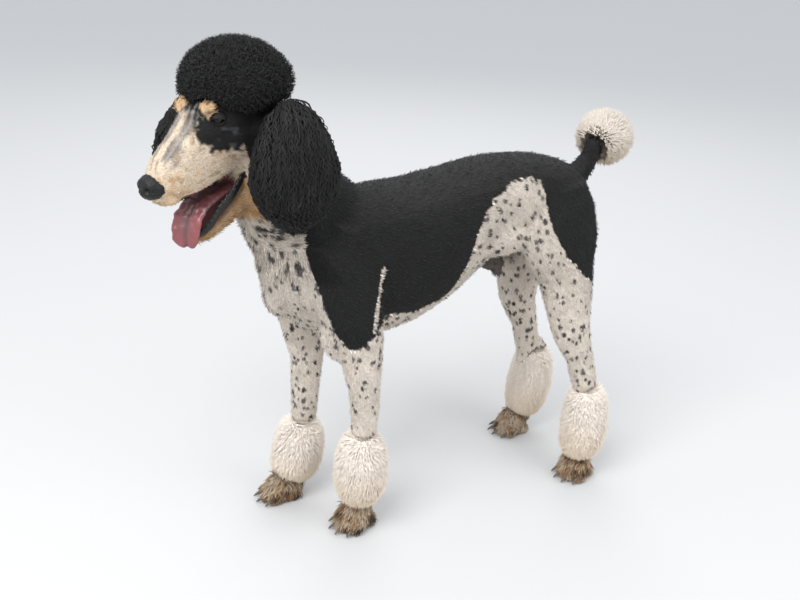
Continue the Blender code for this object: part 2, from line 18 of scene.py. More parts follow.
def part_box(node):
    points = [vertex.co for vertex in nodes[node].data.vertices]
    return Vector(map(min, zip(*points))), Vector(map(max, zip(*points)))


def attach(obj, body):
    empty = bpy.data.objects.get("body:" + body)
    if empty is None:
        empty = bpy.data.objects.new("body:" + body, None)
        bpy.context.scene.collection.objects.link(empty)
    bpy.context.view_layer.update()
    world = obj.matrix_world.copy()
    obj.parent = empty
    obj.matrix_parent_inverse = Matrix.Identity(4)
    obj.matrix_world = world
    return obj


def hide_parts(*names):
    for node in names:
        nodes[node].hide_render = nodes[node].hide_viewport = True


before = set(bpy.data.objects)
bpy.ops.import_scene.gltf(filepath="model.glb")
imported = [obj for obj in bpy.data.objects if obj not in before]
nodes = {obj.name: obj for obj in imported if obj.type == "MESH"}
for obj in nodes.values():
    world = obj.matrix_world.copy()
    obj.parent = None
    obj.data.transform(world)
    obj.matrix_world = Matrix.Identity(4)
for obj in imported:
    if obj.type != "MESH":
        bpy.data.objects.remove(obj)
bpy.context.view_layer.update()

# %% [markdown]
# The dog faces -Y with its left side on +X. Its head is turned to its own left and tipped
# nose down, so the face is easier to describe in axes of its own, which start between the eyes:
# x to its left, y back along the skull and z up. These helpers carry points between the two.

# %% The head's own axes
EYE_LINE = Vector((0.0180, -0.3613, 0.7550))
HEAD_TURN = (
    Matrix.Rotation(radians(20), 3, "Z")
    @ Matrix.Rotation(radians(20), 3, "X")
    @ Matrix.Rotation(radians(-3), 3, "Y")
)
TURN = np.array(HEAD_TURN)


def to_head(points):
    """Points of the dog, in the head's own axes."""
    return (points - np.array(EYE_LINE)) @ TURN


def from_head(points):
    """Points in the head's axes, in the dog's."""
    return np.asarray(points, float) @ TURN.T + np.array(EYE_LINE)


def smooth_step(low, high, value):
    """0 below low, 1 above high, and an easy curve between."""
    t = np.clip((value - low) / (high - low), 0, 1)
    return t * t * (3 - 2 * t)


def ripple(points, size, seed):
    """A smooth random value from about -1 to 1, with bumps of that size."""
    draw = np.random.default_rng(seed)
    ways = draw.normal(size=(12, 3)) / size * 1.6
    shifts = draw.uniform(0, 2 * pi, 12)
    return np.sin(points @ ways.T + shifts).sum(1) / 3.2


print("nose tip is at", np.round(from_head([(0, -0.146, -0.035)])[0], 3))

# %% [markdown]
# Most pieces start as a copy of the frame's solids. A frame mesh is loose triangles, so the copy
# is merged; the remesh modifier then turns overlapping bodies into one even surface, as a
# sculptor's clay would be. The frame's own meshes are never touched.

# %% Helpers for copying, remeshing and moving points


def only(*objs):
    """Select these objects and nothing else."""
    bpy.ops.object.select_all(action="DESELECT")
    for obj in objs:
        obj.select_set(True)
    bpy.context.view_layer.objects.active = objs[0]


def copy_of(name, *sources):
    """One merged mesh from copies of frame nodes."""
    copies = []
    for source in sources:
        twin = bpy.data.objects.new(name, nodes[source].data.copy())
        bpy.context.scene.collection.objects.link(twin)
        copies.append(twin)
    only(*copies)
    if len(copies) > 1:
        bpy.ops.object.join()
    made = bpy.context.view_layer.objects.active
    bpy.ops.object.mode_set(mode="EDIT")
    bpy.ops.mesh.select_all(action="SELECT")
    bpy.ops.mesh.remove_doubles(threshold=0.00002)
    bpy.ops.mesh.normals_make_consistent(inside=False)
    bpy.ops.object.mode_set(mode="OBJECT")
    made.name = made.data.name = name
    made.data.materials.clear()
    return made


def modify(obj, kind, **settings):
    """Add a modifier and apply it at once."""
    only(obj)
    step = obj.modifiers.new(kind.lower(), kind)
    for key, value in settings.items():
        setattr(step, key, value)
    bpy.ops.object.modifier_apply(modifier=step.name)


def remesh(obj, cell, rounds):
    """An even mesh of small cells, softened so that the frame's facets don't show."""
    modify(obj, "REMESH", mode="VOXEL", voxel_size=cell)
    modify(obj, "SMOOTH", factor=0.5, iterations=rounds)


def places(obj):
    """The vertices' places as an array."""
    co = np.empty(len(obj.data.vertices) * 3, np.float32)
    obj.data.vertices.foreach_get("co", co)
    return co.reshape(-1, 3).astype(float)


def outward(obj):
    """The vertices' normals as an array."""
    way = np.empty(len(obj.data.vertices) * 3, np.float32)
    obj.data.vertex_normals.foreach_get("vector", way)
    return way.reshape(-1, 3).astype(float)


def move_to(obj, points):
    """Put the vertices at new places."""
    obj.data.vertices.foreach_set("co", points.astype(np.float32).ravel())
    obj.data.update()


def finish_piece(obj, stands_for=(), finish=None):
    """Say what a piece rides on and what it replaces, and give it its finish."""
    if finish:
        obj.data.shade_smooth()
        obj.data.materials.append(finish)
    obj.data.name = obj.name
    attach(obj, "root")
    if stands_for:
        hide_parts(*stands_for)
    print(obj.name, "has", sum(len(f.vertices) - 2 for f in obj.data.polygons), "triangles")


# %% [markdown]
# The skin is the real dog's hide. It has to be one surface with no seams, so the solids of head,
# jaw, neck, trunk, tail, legs and feet are swelled by half a millimetre, which closes the thin
# cuts between them, and remeshed together. A boolean union would leave a crease at each cut. The
# frame has no pastern inside each bracelet of hair and no root under each ear, so plain columns
# go in first: two from each leg to its foot, and one from the skull to each ear.

# %% Join the solids of flesh
ENDS, SIDES = ("fore", "hind"), ("left", "right")
LEGS = [f"{end}_{side}" for end in ENDS for side in SIDES]
FLESH = ["head", "jaw_lower", "neck", "trunk", "tail"]
FLESH += [f"{end}leg_{side}" for end in ENDS for side in SIDES] + [f"paw_{leg}" for leg in LEGS]
SWELL = 0.0006
SKIN_CELL, SKIN_ROUNDS = 0.0036, 8
LEG_END, CUFF_END = 0.030, 0.012
PASTERN_RADIUS, EAR_ROOT_RADIUS = 0.0165, 0.022
EAR_ROOTS = (  # from the side of the skull to the ear that hangs there
    ((0.030, -0.292, 0.752), (0.080, -0.256, 0.742)),
    ((-0.024, -0.320, 0.752), (-0.095, -0.335, 0.726)),
)
skin = copy_of("skin", *FLESH)
modify(skin, "DISPLACE", strength=SWELL, mid_level=0.0)
columns = []


def add_column(one, other, radius):
    """A plain column from one place to another."""
    along = Vector(other) - Vector(one)
    bpy.ops.mesh.primitive_cylinder_add(
        vertices=24, radius=radius, depth=along.length, location=Vector(one) + along / 2,
        rotation=along.to_track_quat("Z", "Y").to_euler(),
    )
    columns.append(bpy.context.object)


for one, other in EAR_ROOTS:
    add_column(one, other, EAR_ROOT_RADIUS)
for end in ENDS:
    for side in SIDES:
        leg = places(nodes[f"{end}leg_{side}"])
        cuff = places(nodes[f"bracelet_{end}_{side}"])
        top = leg[leg[:, 2] < leg[:, 2].min() + LEG_END].mean(0)
        middle = (cuff.min(0) + cuff.max(0)) / 2
        low = cuff[cuff[:, 2] < cuff[:, 2].min() + CUFF_END].mean(0) - np.array((0, 0, CUFF_END))
        add_column(low, middle, PASTERN_RADIUS)
        add_column(middle, top, PASTERN_RADIUS)
for column in columns:
    only(column)
    bpy.ops.object.transform_apply(location=True, rotation=True, scale=True)
only(skin, *columns)
bpy.ops.object.join()
remesh(skin, SKIN_CELL, SKIN_ROUNDS)
print("skin has", len(skin.data.polygons), "faces after the remesh")

# %% [markdown]
# A coat has depth, so the hide lies inside the outline by that depth: most under the clipped
# body coat, least on the shaved face. The head gets twice as fine a mesh for its folds.

# %% Set the hide in by the coat's depth, and refine the head
FACE_BACK, CHIN_LOW, CHEEK_WIDE = 0.075, -0.17, 0.08
BODY_DEPTH, LEG_SAVING, FACE_DEPTH = 0.0052, 0.0016, 0.0016


def select_head(obj):
    """Select the faces of the head and jaw."""
    centres = np.empty(len(obj.data.polygons) * 3, np.float32)
    obj.data.polygons.foreach_get("center", centres)
    local = to_head(centres.reshape(-1, 3).astype(float))
    near = (local[:, 1] < FACE_BACK) & (local[:, 2] > CHIN_LOW) & (abs(local[:, 0]) < CHEEK_WIDE)
    obj.data.polygons.foreach_set("select", near)


only(skin)
bpy.ops.object.mode_set(mode="EDIT")
bpy.ops.mesh.select_mode(type="FACE")
bpy.ops.mesh.select_all(action="DESELECT")
bpy.ops.object.mode_set(mode="OBJECT")
select_head(skin)
bpy.ops.object.mode_set(mode="EDIT")
bpy.ops.mesh.subdivide(number_cuts=1, smoothness=0.0)
bpy.ops.object.mode_set(mode="OBJECT")
p, n = places(skin), outward(skin)
local = to_head(p)
face_share = 1 - smooth_step(0.02, 0.10, local[:, 1])
leg_share = 1 - smooth_step(0.36, 0.46, p[:, 2])
coat_depth = BODY_DEPTH - LEG_SAVING * leg_share
coat_depth = coat_depth * (1 - face_share) + FACE_DEPTH * face_share
coat_depth *= smooth_step(0.001, 0.020, p[:, 2])
p -= n * coat_depth[:, None]
move_to(skin, p)
print("hide set in by", round(coat_depth.min() * 1000, 1), "to", round(coat_depth.max() * 1000, 1), "mm")

# %% [markdown]
# Folds are pushed in and pulled out as with a sculpting brush: each stroke is a soft round
# patch about a place in the head's axes, with a push along its own way, made on both sides. Typed
# strokes do what a brush by hand would, and can be moved later by a millimetre.

# %% Sculpt the face
EYE = np.array((0.0345, -0.0010, 0.0095))
EYE_RADIUS = 0.0115
BROWS = ((0.0285, -0.0060, 0.0240), (-0.026, -0.0110, 0.0290))
BROW_REACH = (0.011, 0.012, 0.010)
STROKES = (  # place, reach along x, y and z, push
    ((0.046, 0.018, -0.024), (0.012, 0.022, 0.009), (0.0030, 0, 0)),  # cheekbone
    ((0.038, -0.034, -0.018), (0.012, 0.022, 0.012), (-0.0030, 0, 0)),  # hollow under the eye
    ((0.042, 0.004, -0.006), (0.010, 0.014, 0.004), (0.0018, 0, 0)),  # pouch of the lower lid
    ((0.026, -0.095, -0.052), (0.010, 0.022, 0.016), (0.0026, 0, 0)),  # whisker pad
    ((0.036, -0.006, -0.074), (0.012, 0.020, 0.008), (0.0030, 0, -0.0015)),  # fold at the mouth's corner
    ((0.034, -0.040, -0.078), (0.010, 0.024, 0.006), (0.0020, 0, 0)),  # roll of the upper lip
    ((0.014, -0.060, 0.000), (0.006, 0.050, 0.010), (0, 0, -0.0014)),  # side of the bridge
)
OPENING = np.array((0.0455, -0.0085, 0.0140))  # middle of the eye's opening
BODY_STROKES = (  # the same for the body, in the dog's axes
    ((0.100, 0.172, 0.548), (0.03, 0.026, 0.034), (-0.0080, 0, 0)),  # hollow of the flank
    ((0.108, 0.235, 0.520), (0.03, 0.040, 0.050), (0.0035, 0, 0)),  # thigh behind it
    ((0.104, -0.080, 0.470), (0.03, 0.014, 0.060), (-0.0030, 0, 0)),  # behind the upper arm
)


def stroke(points, centre, reach, push):
    """One soft push about a place."""
    apart = (((points - np.array(centre)) / np.array(reach)) ** 2).sum(1)
    return points + np.exp(-apart)[:, None] * np.array(push)


p = places(skin)
local = to_head(p)
for centre, reach, push in STROKES:
    for mirror in (1, -1) if centre[0] else (1,):
        flip = np.array((mirror, 1, 1))
        local = stroke(local, flip * centre, reach, flip * push)
for brow in BROWS:
    local = stroke(local, brow, BROW_REACH, (0.0022 * np.sign(brow[0]), -0.0030, 0.0025))
p = from_head(local)
for centre, reach, push in BODY_STROKES:
    for flip in (np.array((1, 1, 1)), np.array((-1, 1, 1))):
        p = stroke(p, flip * centre, reach, flip * push)
move_to(skin, p)
skin.data.shade_smooth()
skin_places, skin_ways = places(skin), outward(skin)
print("skin has", len(skin.data.polygons), "faces and", len(STROKES), "kinds of stroke")

# %% [markdown]
# The markings are a black saddle, shoulder and head on a white dog with dark ticks, and tan
# points on the brows, cheeks and chin. They could be painted by hand on an image, but then the
# coat would need its own copy. Here one function gives the colour of any place, so skin and coat
# always agree. It starts from a few plain colours.

# %% Colours of the coat
BLACK = (0.0078, 0.0077, 0.0077)
# painted highlight: the black where the coat faces up
TOP_SHEEN_BLACK = (0.0185, 0.0180, 0.0172)
WHITE = (0.57, 0.505, 0.435)
# painted light: a brighter white for the lower legs
LIT_LEG_WHITE = (0.70, 0.62, 0.535)
CREAM = (0.665, 0.545, 0.415)
TAN = (0.64, 0.43, 0.24)
RUST = (0.40, 0.22, 0.09)
TICK = (0.028, 0.027, 0.028)
GUM = (0.17, 0.055, 0.055)
LIP_BLACK = (0.014, 0.012, 0.012)
SHEATH_AND_SHADE_GREY = (0.055, 0.046, 0.040)
PAW_BROWN = (0.17, 0.112, 0.060)


def mix(colours, share, other):
    """Blend colours towards another by a share each."""
    return colours * (1 - share[:, None]) + np.array(other) * share[:, None]


# %% [markdown]
# The line between black and white is a skyline seen from the side: white lies below it. Each side
# of the dog has its own, and they blend across the back. A little noise frays the line, because
# hairs of the two colours cross it.

# %% Skyline of the black coat
SKYLINE_LEFT = (  # y along the dog, and the height of the line there
    (-0.36, 0.84), (-0.287, 0.71), (-0.235, 0.63), (-0.219, 0.57), (-0.217, 0.53), (-0.203, 0.483),
    (-0.188, 0.435), (-0.172, 0.396), (-0.155, 0.381), (-0.138, 0.379), (-0.120, 0.388), (-0.100, 0.408),
    (-0.010, 0.410), (0.056, 0.428), (0.081, 0.492), (0.092, 0.545), (0.103, 0.576),
    (0.130, 0.603), (0.166, 0.622), (0.200, 0.628), (0.226, 0.622), (0.235, 0.603),
    (0.242, 0.565), (0.248, 0.534), (0.262, 0.504), (0.278, 0.486), (0.304, 0.461),
    (0.326, 0.442), (0.346, 0.417), (0.370, 0.390), (0.420, 0.360),
)
SKYLINE_RIGHT = (  # the same on the side that the photograph doesn't show
    (-0.36, 0.84), (-0.30, 0.72), (-0.252, 0.63), (-0.236, 0.57), (-0.222, 0.49), (-0.205, 0.44),
    (-0.165, 0.405), (-0.120, 0.400), (-0.030, 0.408), (0.050, 0.430), (0.098, 0.500),
    (0.132, 0.556), (0.168, 0.590), (0.205, 0.586), (0.238, 0.540), (0.270, 0.495),
    (0.310, 0.452), (0.350, 0.412), (0.380, 0.380), (0.420, 0.350),
)
SLIVER = (np.array((-0.087, 0.510)), np.array((-0.112, 0.405)))  # a thin white line in the black


def black_share(points):
    """1 where the body is black, 0 where it is white, by the skyline of each side."""
    x, y, z = points.T
    left = np.interp(y, *zip(*SKYLINE_LEFT))
    right = np.interp(y, *zip(*SKYLINE_RIGHT))
    side = smooth_step(-0.02, 0.02, x)
    line = left * side + right * (1 - side)
    above = z - line + 0.0022 * ripple(points, 0.012, 3) + 0.0022 * ripple(points, 0.005, 4)
    top, foot = SLIVER
    run = foot - top
    flat = points[:, 1:] - top
    t = np.clip(flat @ run / (run @ run), 0, 1)
    apart = np.linalg.norm(flat - t[:, None] * run, axis=1)
    wide = 0.0018 + 0.0040 * t + 0.0012 * ripple(points, 0.012, 5)
    sliver = (apart < wide) & (x > 0.02)
    return smooth_step(-0.0015, 0.0015, above) * ~sliver


print("black covers", round(black_share(skin_places).mean(), 2), "of the skin's points")

# %% [markdown]
# The face has many small markings: a black patch round each eye, a grey streaked bridge, tan
# brows and chin, and the bare black lips. Each is a soft shape in the head's axes, blended over
# the one before, with an edge frayed by noise, as hairs of two colours mix at a real edge.

# %% Colours of the face
BRIDGE_GREY = (0.19, 0.185, 0.185)
BROW_GREY = (0.10, 0.10, 0.105)
FLECK_BROWN = (0.30, 0.20, 0.12)
PATCH_BLACK = (0.0115, 0.0112, 0.0110)
PATCH_GREY = (0.07, 0.07, 0.072)
PATCH_CENTRE, PATCH_SIZE = (0.001, -0.001), (0.042, 0.037)
LOWER_LIP = (  # y, then z, along the edge of the lower jaw
    (-0.100, -0.078, -0.066, -0.055, -0.042, -0.024, -0.012, 0.004, 0.012),
    (-0.143, -0.140, -0.135, -0.124, -0.119, -0.113, -0.104, -0.095, -0.088),
)
JAW_WIDTH = (  # y, then half the width there
    (-0.100, -0.093, -0.080, -0.068, -0.044, -0.014),
    (0.007, 0.014, 0.0205, 0.024, 0.027, 0.032),
)


def lip_width(y):
    """Half the width of the lower jaw at its lips, from the tip back to the corner."""
    return np.interp(y, *JAW_WIDTH)


def mouth_zones(local, facing):
    """Which places lie inside the mouth, and which on its bare black lips."""
    x, y, z = local.T
    wide = abs(x)
    jaw = np.interp(y, *LOWER_LIP)
    palate = (facing[:, 2] < -0.5) & (z > jaw + 0.006) & (z < -0.070)
    palate &= (wide < 0.021) & (y < 0.015) & (y > -0.100)
    floor = (facing[:, 2] > 0.15) & (z < -0.098) & (z > -0.150) & (wide < 0.016) & (y < 0.010)
    floor &= wide < lip_width(y) - 0.006
    low = abs(z - jaw) < 0.0055
    low &= (wide > lip_width(y) - 0.004) & (y < 0.010) & (y > -0.100) & ~palate
    return palate | floor, low


def face_colours(points, ways):
    """The head's colours, and how far each place belongs to the head."""
    local, facing = to_head(points), ways @ TURN
    x, y, z = local.T
    wide = abs(x)
    speck = ripple(points, 0.0040, 7)
    mottle = ripple(points, 0.0085, 8)
    streak = ripple(local * np.array((1, 0.16, 0.5)), 0.0030, 10)
    # cream, whiter on the cheek and warmer on the lips
    made = np.tile(np.array(CREAM), (len(points), 1))
    made = mix(made, smooth_step(-0.05, 0.03, y + 0.010 * mottle) * 0.85, WHITE)
    warm = smooth_step(-0.085, -0.110, y) * smooth_step(-0.022, -0.040, z)
    made = mix(made, np.clip(warm * (0.35 + 0.35 * mottle), 0, 0.6), TAN)
    # grey streaks on the bridge and between the brows, and brown flecks
    band = smooth_step(0.003, 0.008, wide) * smooth_step(0.030, 0.020, wide + 0.003 * mottle)
    band *= facing[:, 2] > 0.0
    band *= smooth_step(-0.105, -0.080, y + 0.010 * streak) * smooth_step(-0.030, -0.020, z)
    made = mix(made, np.clip(band * (0.72 + 0.22 * streak), 0, 0.92), BRIDGE_GREY)
    brow_line = smooth_step(-0.045, -0.010, y) * smooth_step(0.024, 0.018, wide) * (z > -0.02)
    made = mix(made, np.clip(brow_line * (0.60 + 0.5 * streak), 0, 0.95), BROW_GREY)
    flecks = smooth_step(0.85, 1.20, streak + 0.4 * mottle) * (z > -0.10) * smooth_step(0.04, 0.02, y)
    made = mix(made, flecks * 0.55, FLECK_BROWN)
    made = mix(made, np.clip(0.30 * (z < -0.03) * (0.5 + mottle), 0, 0.4), TAN)
    # rust on the chin
    chin = smooth_step(-0.003, -0.008, z - np.interp(y, *LOWER_LIP)) * smooth_step(0.06, 0.02, y)
    made = mix(made, chin * (0.85 + 0.1 * mottle), RUST)
    # the black patch about the eye, behind it and up to the topknot, and the tan in it
    tuft = np.exp(-(((y - 0.040) / 0.008) ** 2 + ((z + 0.038) / 0.014) ** 2)) * (wide > 0.03)
    fray = 0.10 * ripple(points, 0.008, 9) + 0.06 * speck + 0.09 * streak
    around = ((y - PATCH_CENTRE[0]) / PATCH_SIZE[0]) ** 2 + ((z - PATCH_CENTRE[1]) / PATCH_SIZE[1]) ** 2
    patch = smooth_step(1.40, 0.80, around + 1.6 * fray) * smooth_step(0.017, 0.026, wide + 0.02 * fray)
    behind = smooth_step(-0.050, -0.036, z + 0.05 * fray) * smooth_step(-0.004, 0.004, y)
    behind = behind * smooth_step(0.019, 0.025, wide)
    crown = smooth_step(0.022, 0.034, z - 0.35 * y - 0.006 + 0.03 * fray) * smooth_step(-0.042, -0.024, y)
    dark = np.clip(np.maximum.reduce([patch, behind, crown]), 0, 1)
    made = mix(made, dark, PATCH_BLACK)
    made = mix(made, 0.6 * dark * smooth_step(0.5, 1.2, streak) * (z < 0.01), PATCH_GREY)
    made = mix(made, np.clip(1.2 * tuft, 0, 1), TAN)
    for bx, by, bz in BROWS:
        near = ((x - bx) / 0.0125) ** 2 + ((y - by) / 0.0140) ** 2 + ((z - bz) / 0.0135) ** 2
        made = mix(made, smooth_step(1.30, 0.85, near + fray), TAN)
    # bare skin
    socket = ((wide - 0.043) / 0.014) ** 2 + ((y + 0.006) / 0.0125) ** 2 + ((z - 0.0135) / 0.0085) ** 2
    made = mix(made, smooth_step(1.2, 0.8, socket), LIP_BLACK)
    inside, lips = mouth_zones(local, facing)
    made = mix(made, inside.astype(float), GUM)
    made = mix(made, lips.astype(float), LIP_BLACK)
    share = smooth_step(0.075, 0.050, y) * smooth_step(-0.175, -0.155, z)
    return made, share * (wide < 0.09)


print("the face takes", int((face_colours(skin_places, skin_ways)[1] > 0.5).sum()), "of the skin's points")

# %% [markdown]
# A real coat lies back along the body and down the legs, and its ticks are small ellipses drawn
# out the same way. So the lie comes first, then the ticks, which are picked at random places of
# the skin. A search tree then finds the tick nearest to any place quickly.

# %% Lie of the coat, and its ticks
TICK_ROOM, TICK_SHARE = 0.0135, 0.50


def lie_of(points, ways):
    """The way that the coat lies at each place, flat on the skin."""
    x, y, z = points.T
    lie = np.tile((0.0, 0.92, -0.40), (len(points), 1))
    chest = smooth_step(-0.12, -0.20, y)[:, None]
    lie = lie * (1 - chest) + np.array((0, 0.30, -0.95)) * chest
    rump = smooth_step(0.13, 0.22, y)[:, None]
    lie = lie * (1 - rump) + np.array((0, 0.25, -0.95)) * rump
    leg = smooth_step(0.44, 0.36, z)[:, None]
    lie = lie * (1 - leg) + np.array((0, 0.12, -1.0)) * leg
    head = smooth_step(0.075, 0.050, to_head(points)[:, 1])[:, None] * (z > 0.55)[:, None]
    lie = lie * (1 - head) + (np.array((0, 1.0, -0.18)) @ TURN.T) * head
    lie -= (lie * ways).sum(1)[:, None] * ways
    return lie / np.maximum(np.linalg.norm(lie, axis=1), 1e-6)[:, None]


def pick_ticks():
    """Scatter ticks over the skin: place, lie, size and darkness."""
    draw = np.random.default_rng(11)
    order = draw.permutation(len(skin_places))
    cell = np.floor(skin_places[order] / TICK_ROOM).astype(int)
    _, first = np.unique(cell, axis=0, return_index=True)
    chosen = order[first]
    chosen = chosen[draw.random(len(chosen)) < TICK_SHARE]
    spots = skin_places[chosen] + draw.normal(0, 0.002, (len(chosen), 3))
    lies = lie_of(spots, skin_ways[chosen])
    neck = 1 + 0.35 * smooth_step(-0.14, -0.22, spots[:, 1]) * (spots[:, 2] > 0.50)
    sizes = draw.uniform(0.0020, 0.0043, len(chosen)) * neck
    return spots, lies, sizes, draw.uniform(0.78, 1.0, len(chosen))


TICKS = pick_ticks()
tick_tree = KDTree(len(TICKS[0]))
for i, spot in enumerate(TICKS[0]):
    tick_tree.insert(spot, i)
tick_tree.balance()


def tick_share(points):
    """How far each place lies in a tick."""
    nearest = np.array([tick_tree.find(q)[1] for q in points])
    spots, lies, sizes, dark = (part[nearest] for part in TICKS)
    apart = points - spots
    along = (apart * lies).sum(1)
    across = np.sqrt(np.maximum((apart**2).sum(1) - along**2, 0))
    reach = np.hypot(along / (1.5 * sizes), across / sizes)
    return smooth_step(1.25, 0.80, reach) * dark


print(len(TICKS[0]), "ticks scattered")

# %% [markdown]
# Now the parts come together in the order of a painting: white first, ticks on it, black over
# them, then the face and the small dark places. The result is stored on the skin's points.

# %% The colour of any place


def markings(points, ways):
    """The coat's colour at each place."""
    z = points[:, 2]
    # white with ticks, brighter on the lower legs as painted light, and warm at the throat
    made = np.tile(np.array(WHITE), (len(points), 1))
    made = mix(made, smooth_step(0.46, 0.34, z), LIT_LEG_WHITE)
    made = made * (1 + 0.05 * ripple(points, 0.022, 21)[:, None])
    head_colours, head = face_colours(points, ways)
    x, y, height = to_head(points).T
    throat = smooth_step(0.16, 0.09, y) * (height < -0.04) * (z > 0.6)
    made = mix(made, 0.25 * throat, TAN)
    ticks = tick_share(points)
    made = mix(made, ticks, TICK)
    # black above the skyline, lighter where the coat faces up: a painted highlight
    top = smooth_step(0.3, 0.9, ways[:, 2])[:, None]
    dark = np.array(BLACK) * (1 - top) + np.array(TOP_SHEEN_BLACK) * top
    black = black_share(points)[:, None]
    made = made * (1 - black) + dark * black
    head_colours = mix(head_colours, ticks * 0.6 * (y > 0.03), TICK)
    made = made * (1 - head[:, None]) + head_colours * head[:, None]
    # dark grey hair of the sheath with painted shade under the belly between the hind legs, black ear roots
    # and brown paws
    groin = smooth_step(0.060, 0.035, abs(points[:, 0])) * smooth_step(0.135, 0.165, points[:, 1])
    groin *= smooth_step(0.290, 0.250, points[:, 1]) * smooth_step(0.50, 0.47, z) * (z > 0.40)
    made = mix(made, 0.9 * groin, SHEATH_AND_SHADE_GREY)
    ear_root = smooth_step(0.043, 0.048, abs(x)) * (y > 0.018) * (y < 0.11) * (height > -0.085) * (z > 0.6)
    made = mix(made, ear_root, BLACK)
    paw = smooth_step(0.062, 0.045, z)
    brown = np.array(PAW_BROWN) * (1 + 0.5 * ripple(points, 0.006, 22)[:, None])
    made = made * (1 - paw[:, None]) + brown * paw[:, None]
    return np.clip(made, 0.004, 0.95)


def paint(obj, colours):
    """Store a colour at each vertex."""
    layer = obj.data.color_attributes.new("coat", "FLOAT_COLOR", "POINT")
    full = np.ones((len(colours), 4), np.float32)
    full[:, :3] = colours
    layer.data.foreach_set("color", full.ravel())


paint(skin, markings(skin_places, skin_ways) * 0.88)
print("skin painted at", len(skin_places), "points")

# %% [markdown]
# Every hairy surface takes its colour from that stored attribute, a fine noise that parts it
# into hairs, and a bump of the same grain. Black hair is a little glossier than white.

# %% Finishes of the coat


def node(tree, kind, **values):
    """Add a node, and set its properties and its sockets' own values."""
    made = tree.nodes.new(kind)
    for key, value in values.items():
        if key in made.inputs:
            made.inputs[key].default_value = value
        else:
            setattr(made, key, value)
    return made


def coat_finish(name, roughness, specular, grain, bump, wet=0.0, depths=(0.74, 1.22)):
    """Hair or wet flesh: the stored colour, with a fine grain in colour and height."""
    made = bpy.data.materials.new(name)
    made.use_nodes = True
    tree = made.node_tree
    shader = tree.nodes["Principled BSDF"]
    shader.inputs["Roughness"].default_value = roughness
    shader.inputs["Specular IOR Level"].default_value = specular
    shader.inputs["Coat Weight"].default_value = wet
    shader.inputs["Coat Roughness"].default_value = 0.2
    stored = node(tree, "ShaderNodeAttribute", attribute_name="coat")
    place = node(tree, "ShaderNodeTexCoord")
    noise = node(tree, "ShaderNodeTexNoise", Scale=grain, Detail=4.0, Roughness=0.6)
    level = node(tree, "ShaderNodeMapRange")
    level.inputs["From Min"].default_value, level.inputs["From Max"].default_value = 0.3, 0.7
    level.inputs["To Min"].default_value, level.inputs["To Max"].default_value = depths
    blend = node(tree, "ShaderNodeMix", data_type="RGBA", blend_type="MULTIPLY")
    blend.inputs["Factor"].default_value = 1.0
    height = node(tree, "ShaderNodeBump", Strength=bump, Distance=0.0012)
    tree.links.new(place.outputs["Object"], noise.inputs["Vector"])
    tree.links.new(noise.outputs["Fac"], level.inputs["Value"])
    tree.links.new(stored.outputs["Color"], blend.inputs["A"])
    tree.links.new(level.outputs["Result"], blend.inputs["B"])
    tree.links.new(blend.outputs["Result"], shader.inputs["Base Color"])
    tree.links.new(noise.outputs["Fac"], height.inputs["Height"])
    tree.links.new(height.outputs["Normal"], shader.inputs["Normal"])
    return made


FINISH = {
    "hide": coat_finish("hide", 0.80, 0.25, 420, 0.7),
    "black_hair": coat_finish("black_hair", 0.60, 0.26, 300, 0.2),
    "white_hair": coat_finish("white_hair", 0.80, 0.25, 300, 0.2),
    "plush_hair": coat_finish("plush_hair", 0.85, 0.20, 260, 0.15, depths=(0.86, 1.08)),
    "wet_flesh": coat_finish("wet_flesh", 0.36, 0.5, 520, 0.35, wet=0.3, depths=(0.82, 1.14)),
}
skin.data.materials.append(FINISH["hide"])
print(len(FINISH), "coat finishes")

# %% [markdown]
# The bake needs a flat map of the skin. Smart projection unwraps any shape without seams drawn
# by hand. Each tuft later shrinks onto a tiny patch of this map, at its own root, so it takes
# its baked colour from where it grows.

# %% Unwrap a surface, and read it as triangles


def unwrap(obj):
    """Give a mesh the flat map that the bake uses."""
    only(obj)
    for old in list(obj.data.uv_layers):
        obj.data.uv_layers.remove(old)
    obj.data.uv_layers.new(name="OFBake")
    bpy.ops.object.mode_set(mode="EDIT")
    bpy.ops.mesh.select_all(action="SELECT")
    bpy.ops.uv.smart_project(angle_limit=radians(66), island_margin=0.002)
    bpy.ops.object.mode_set(mode="OBJECT")


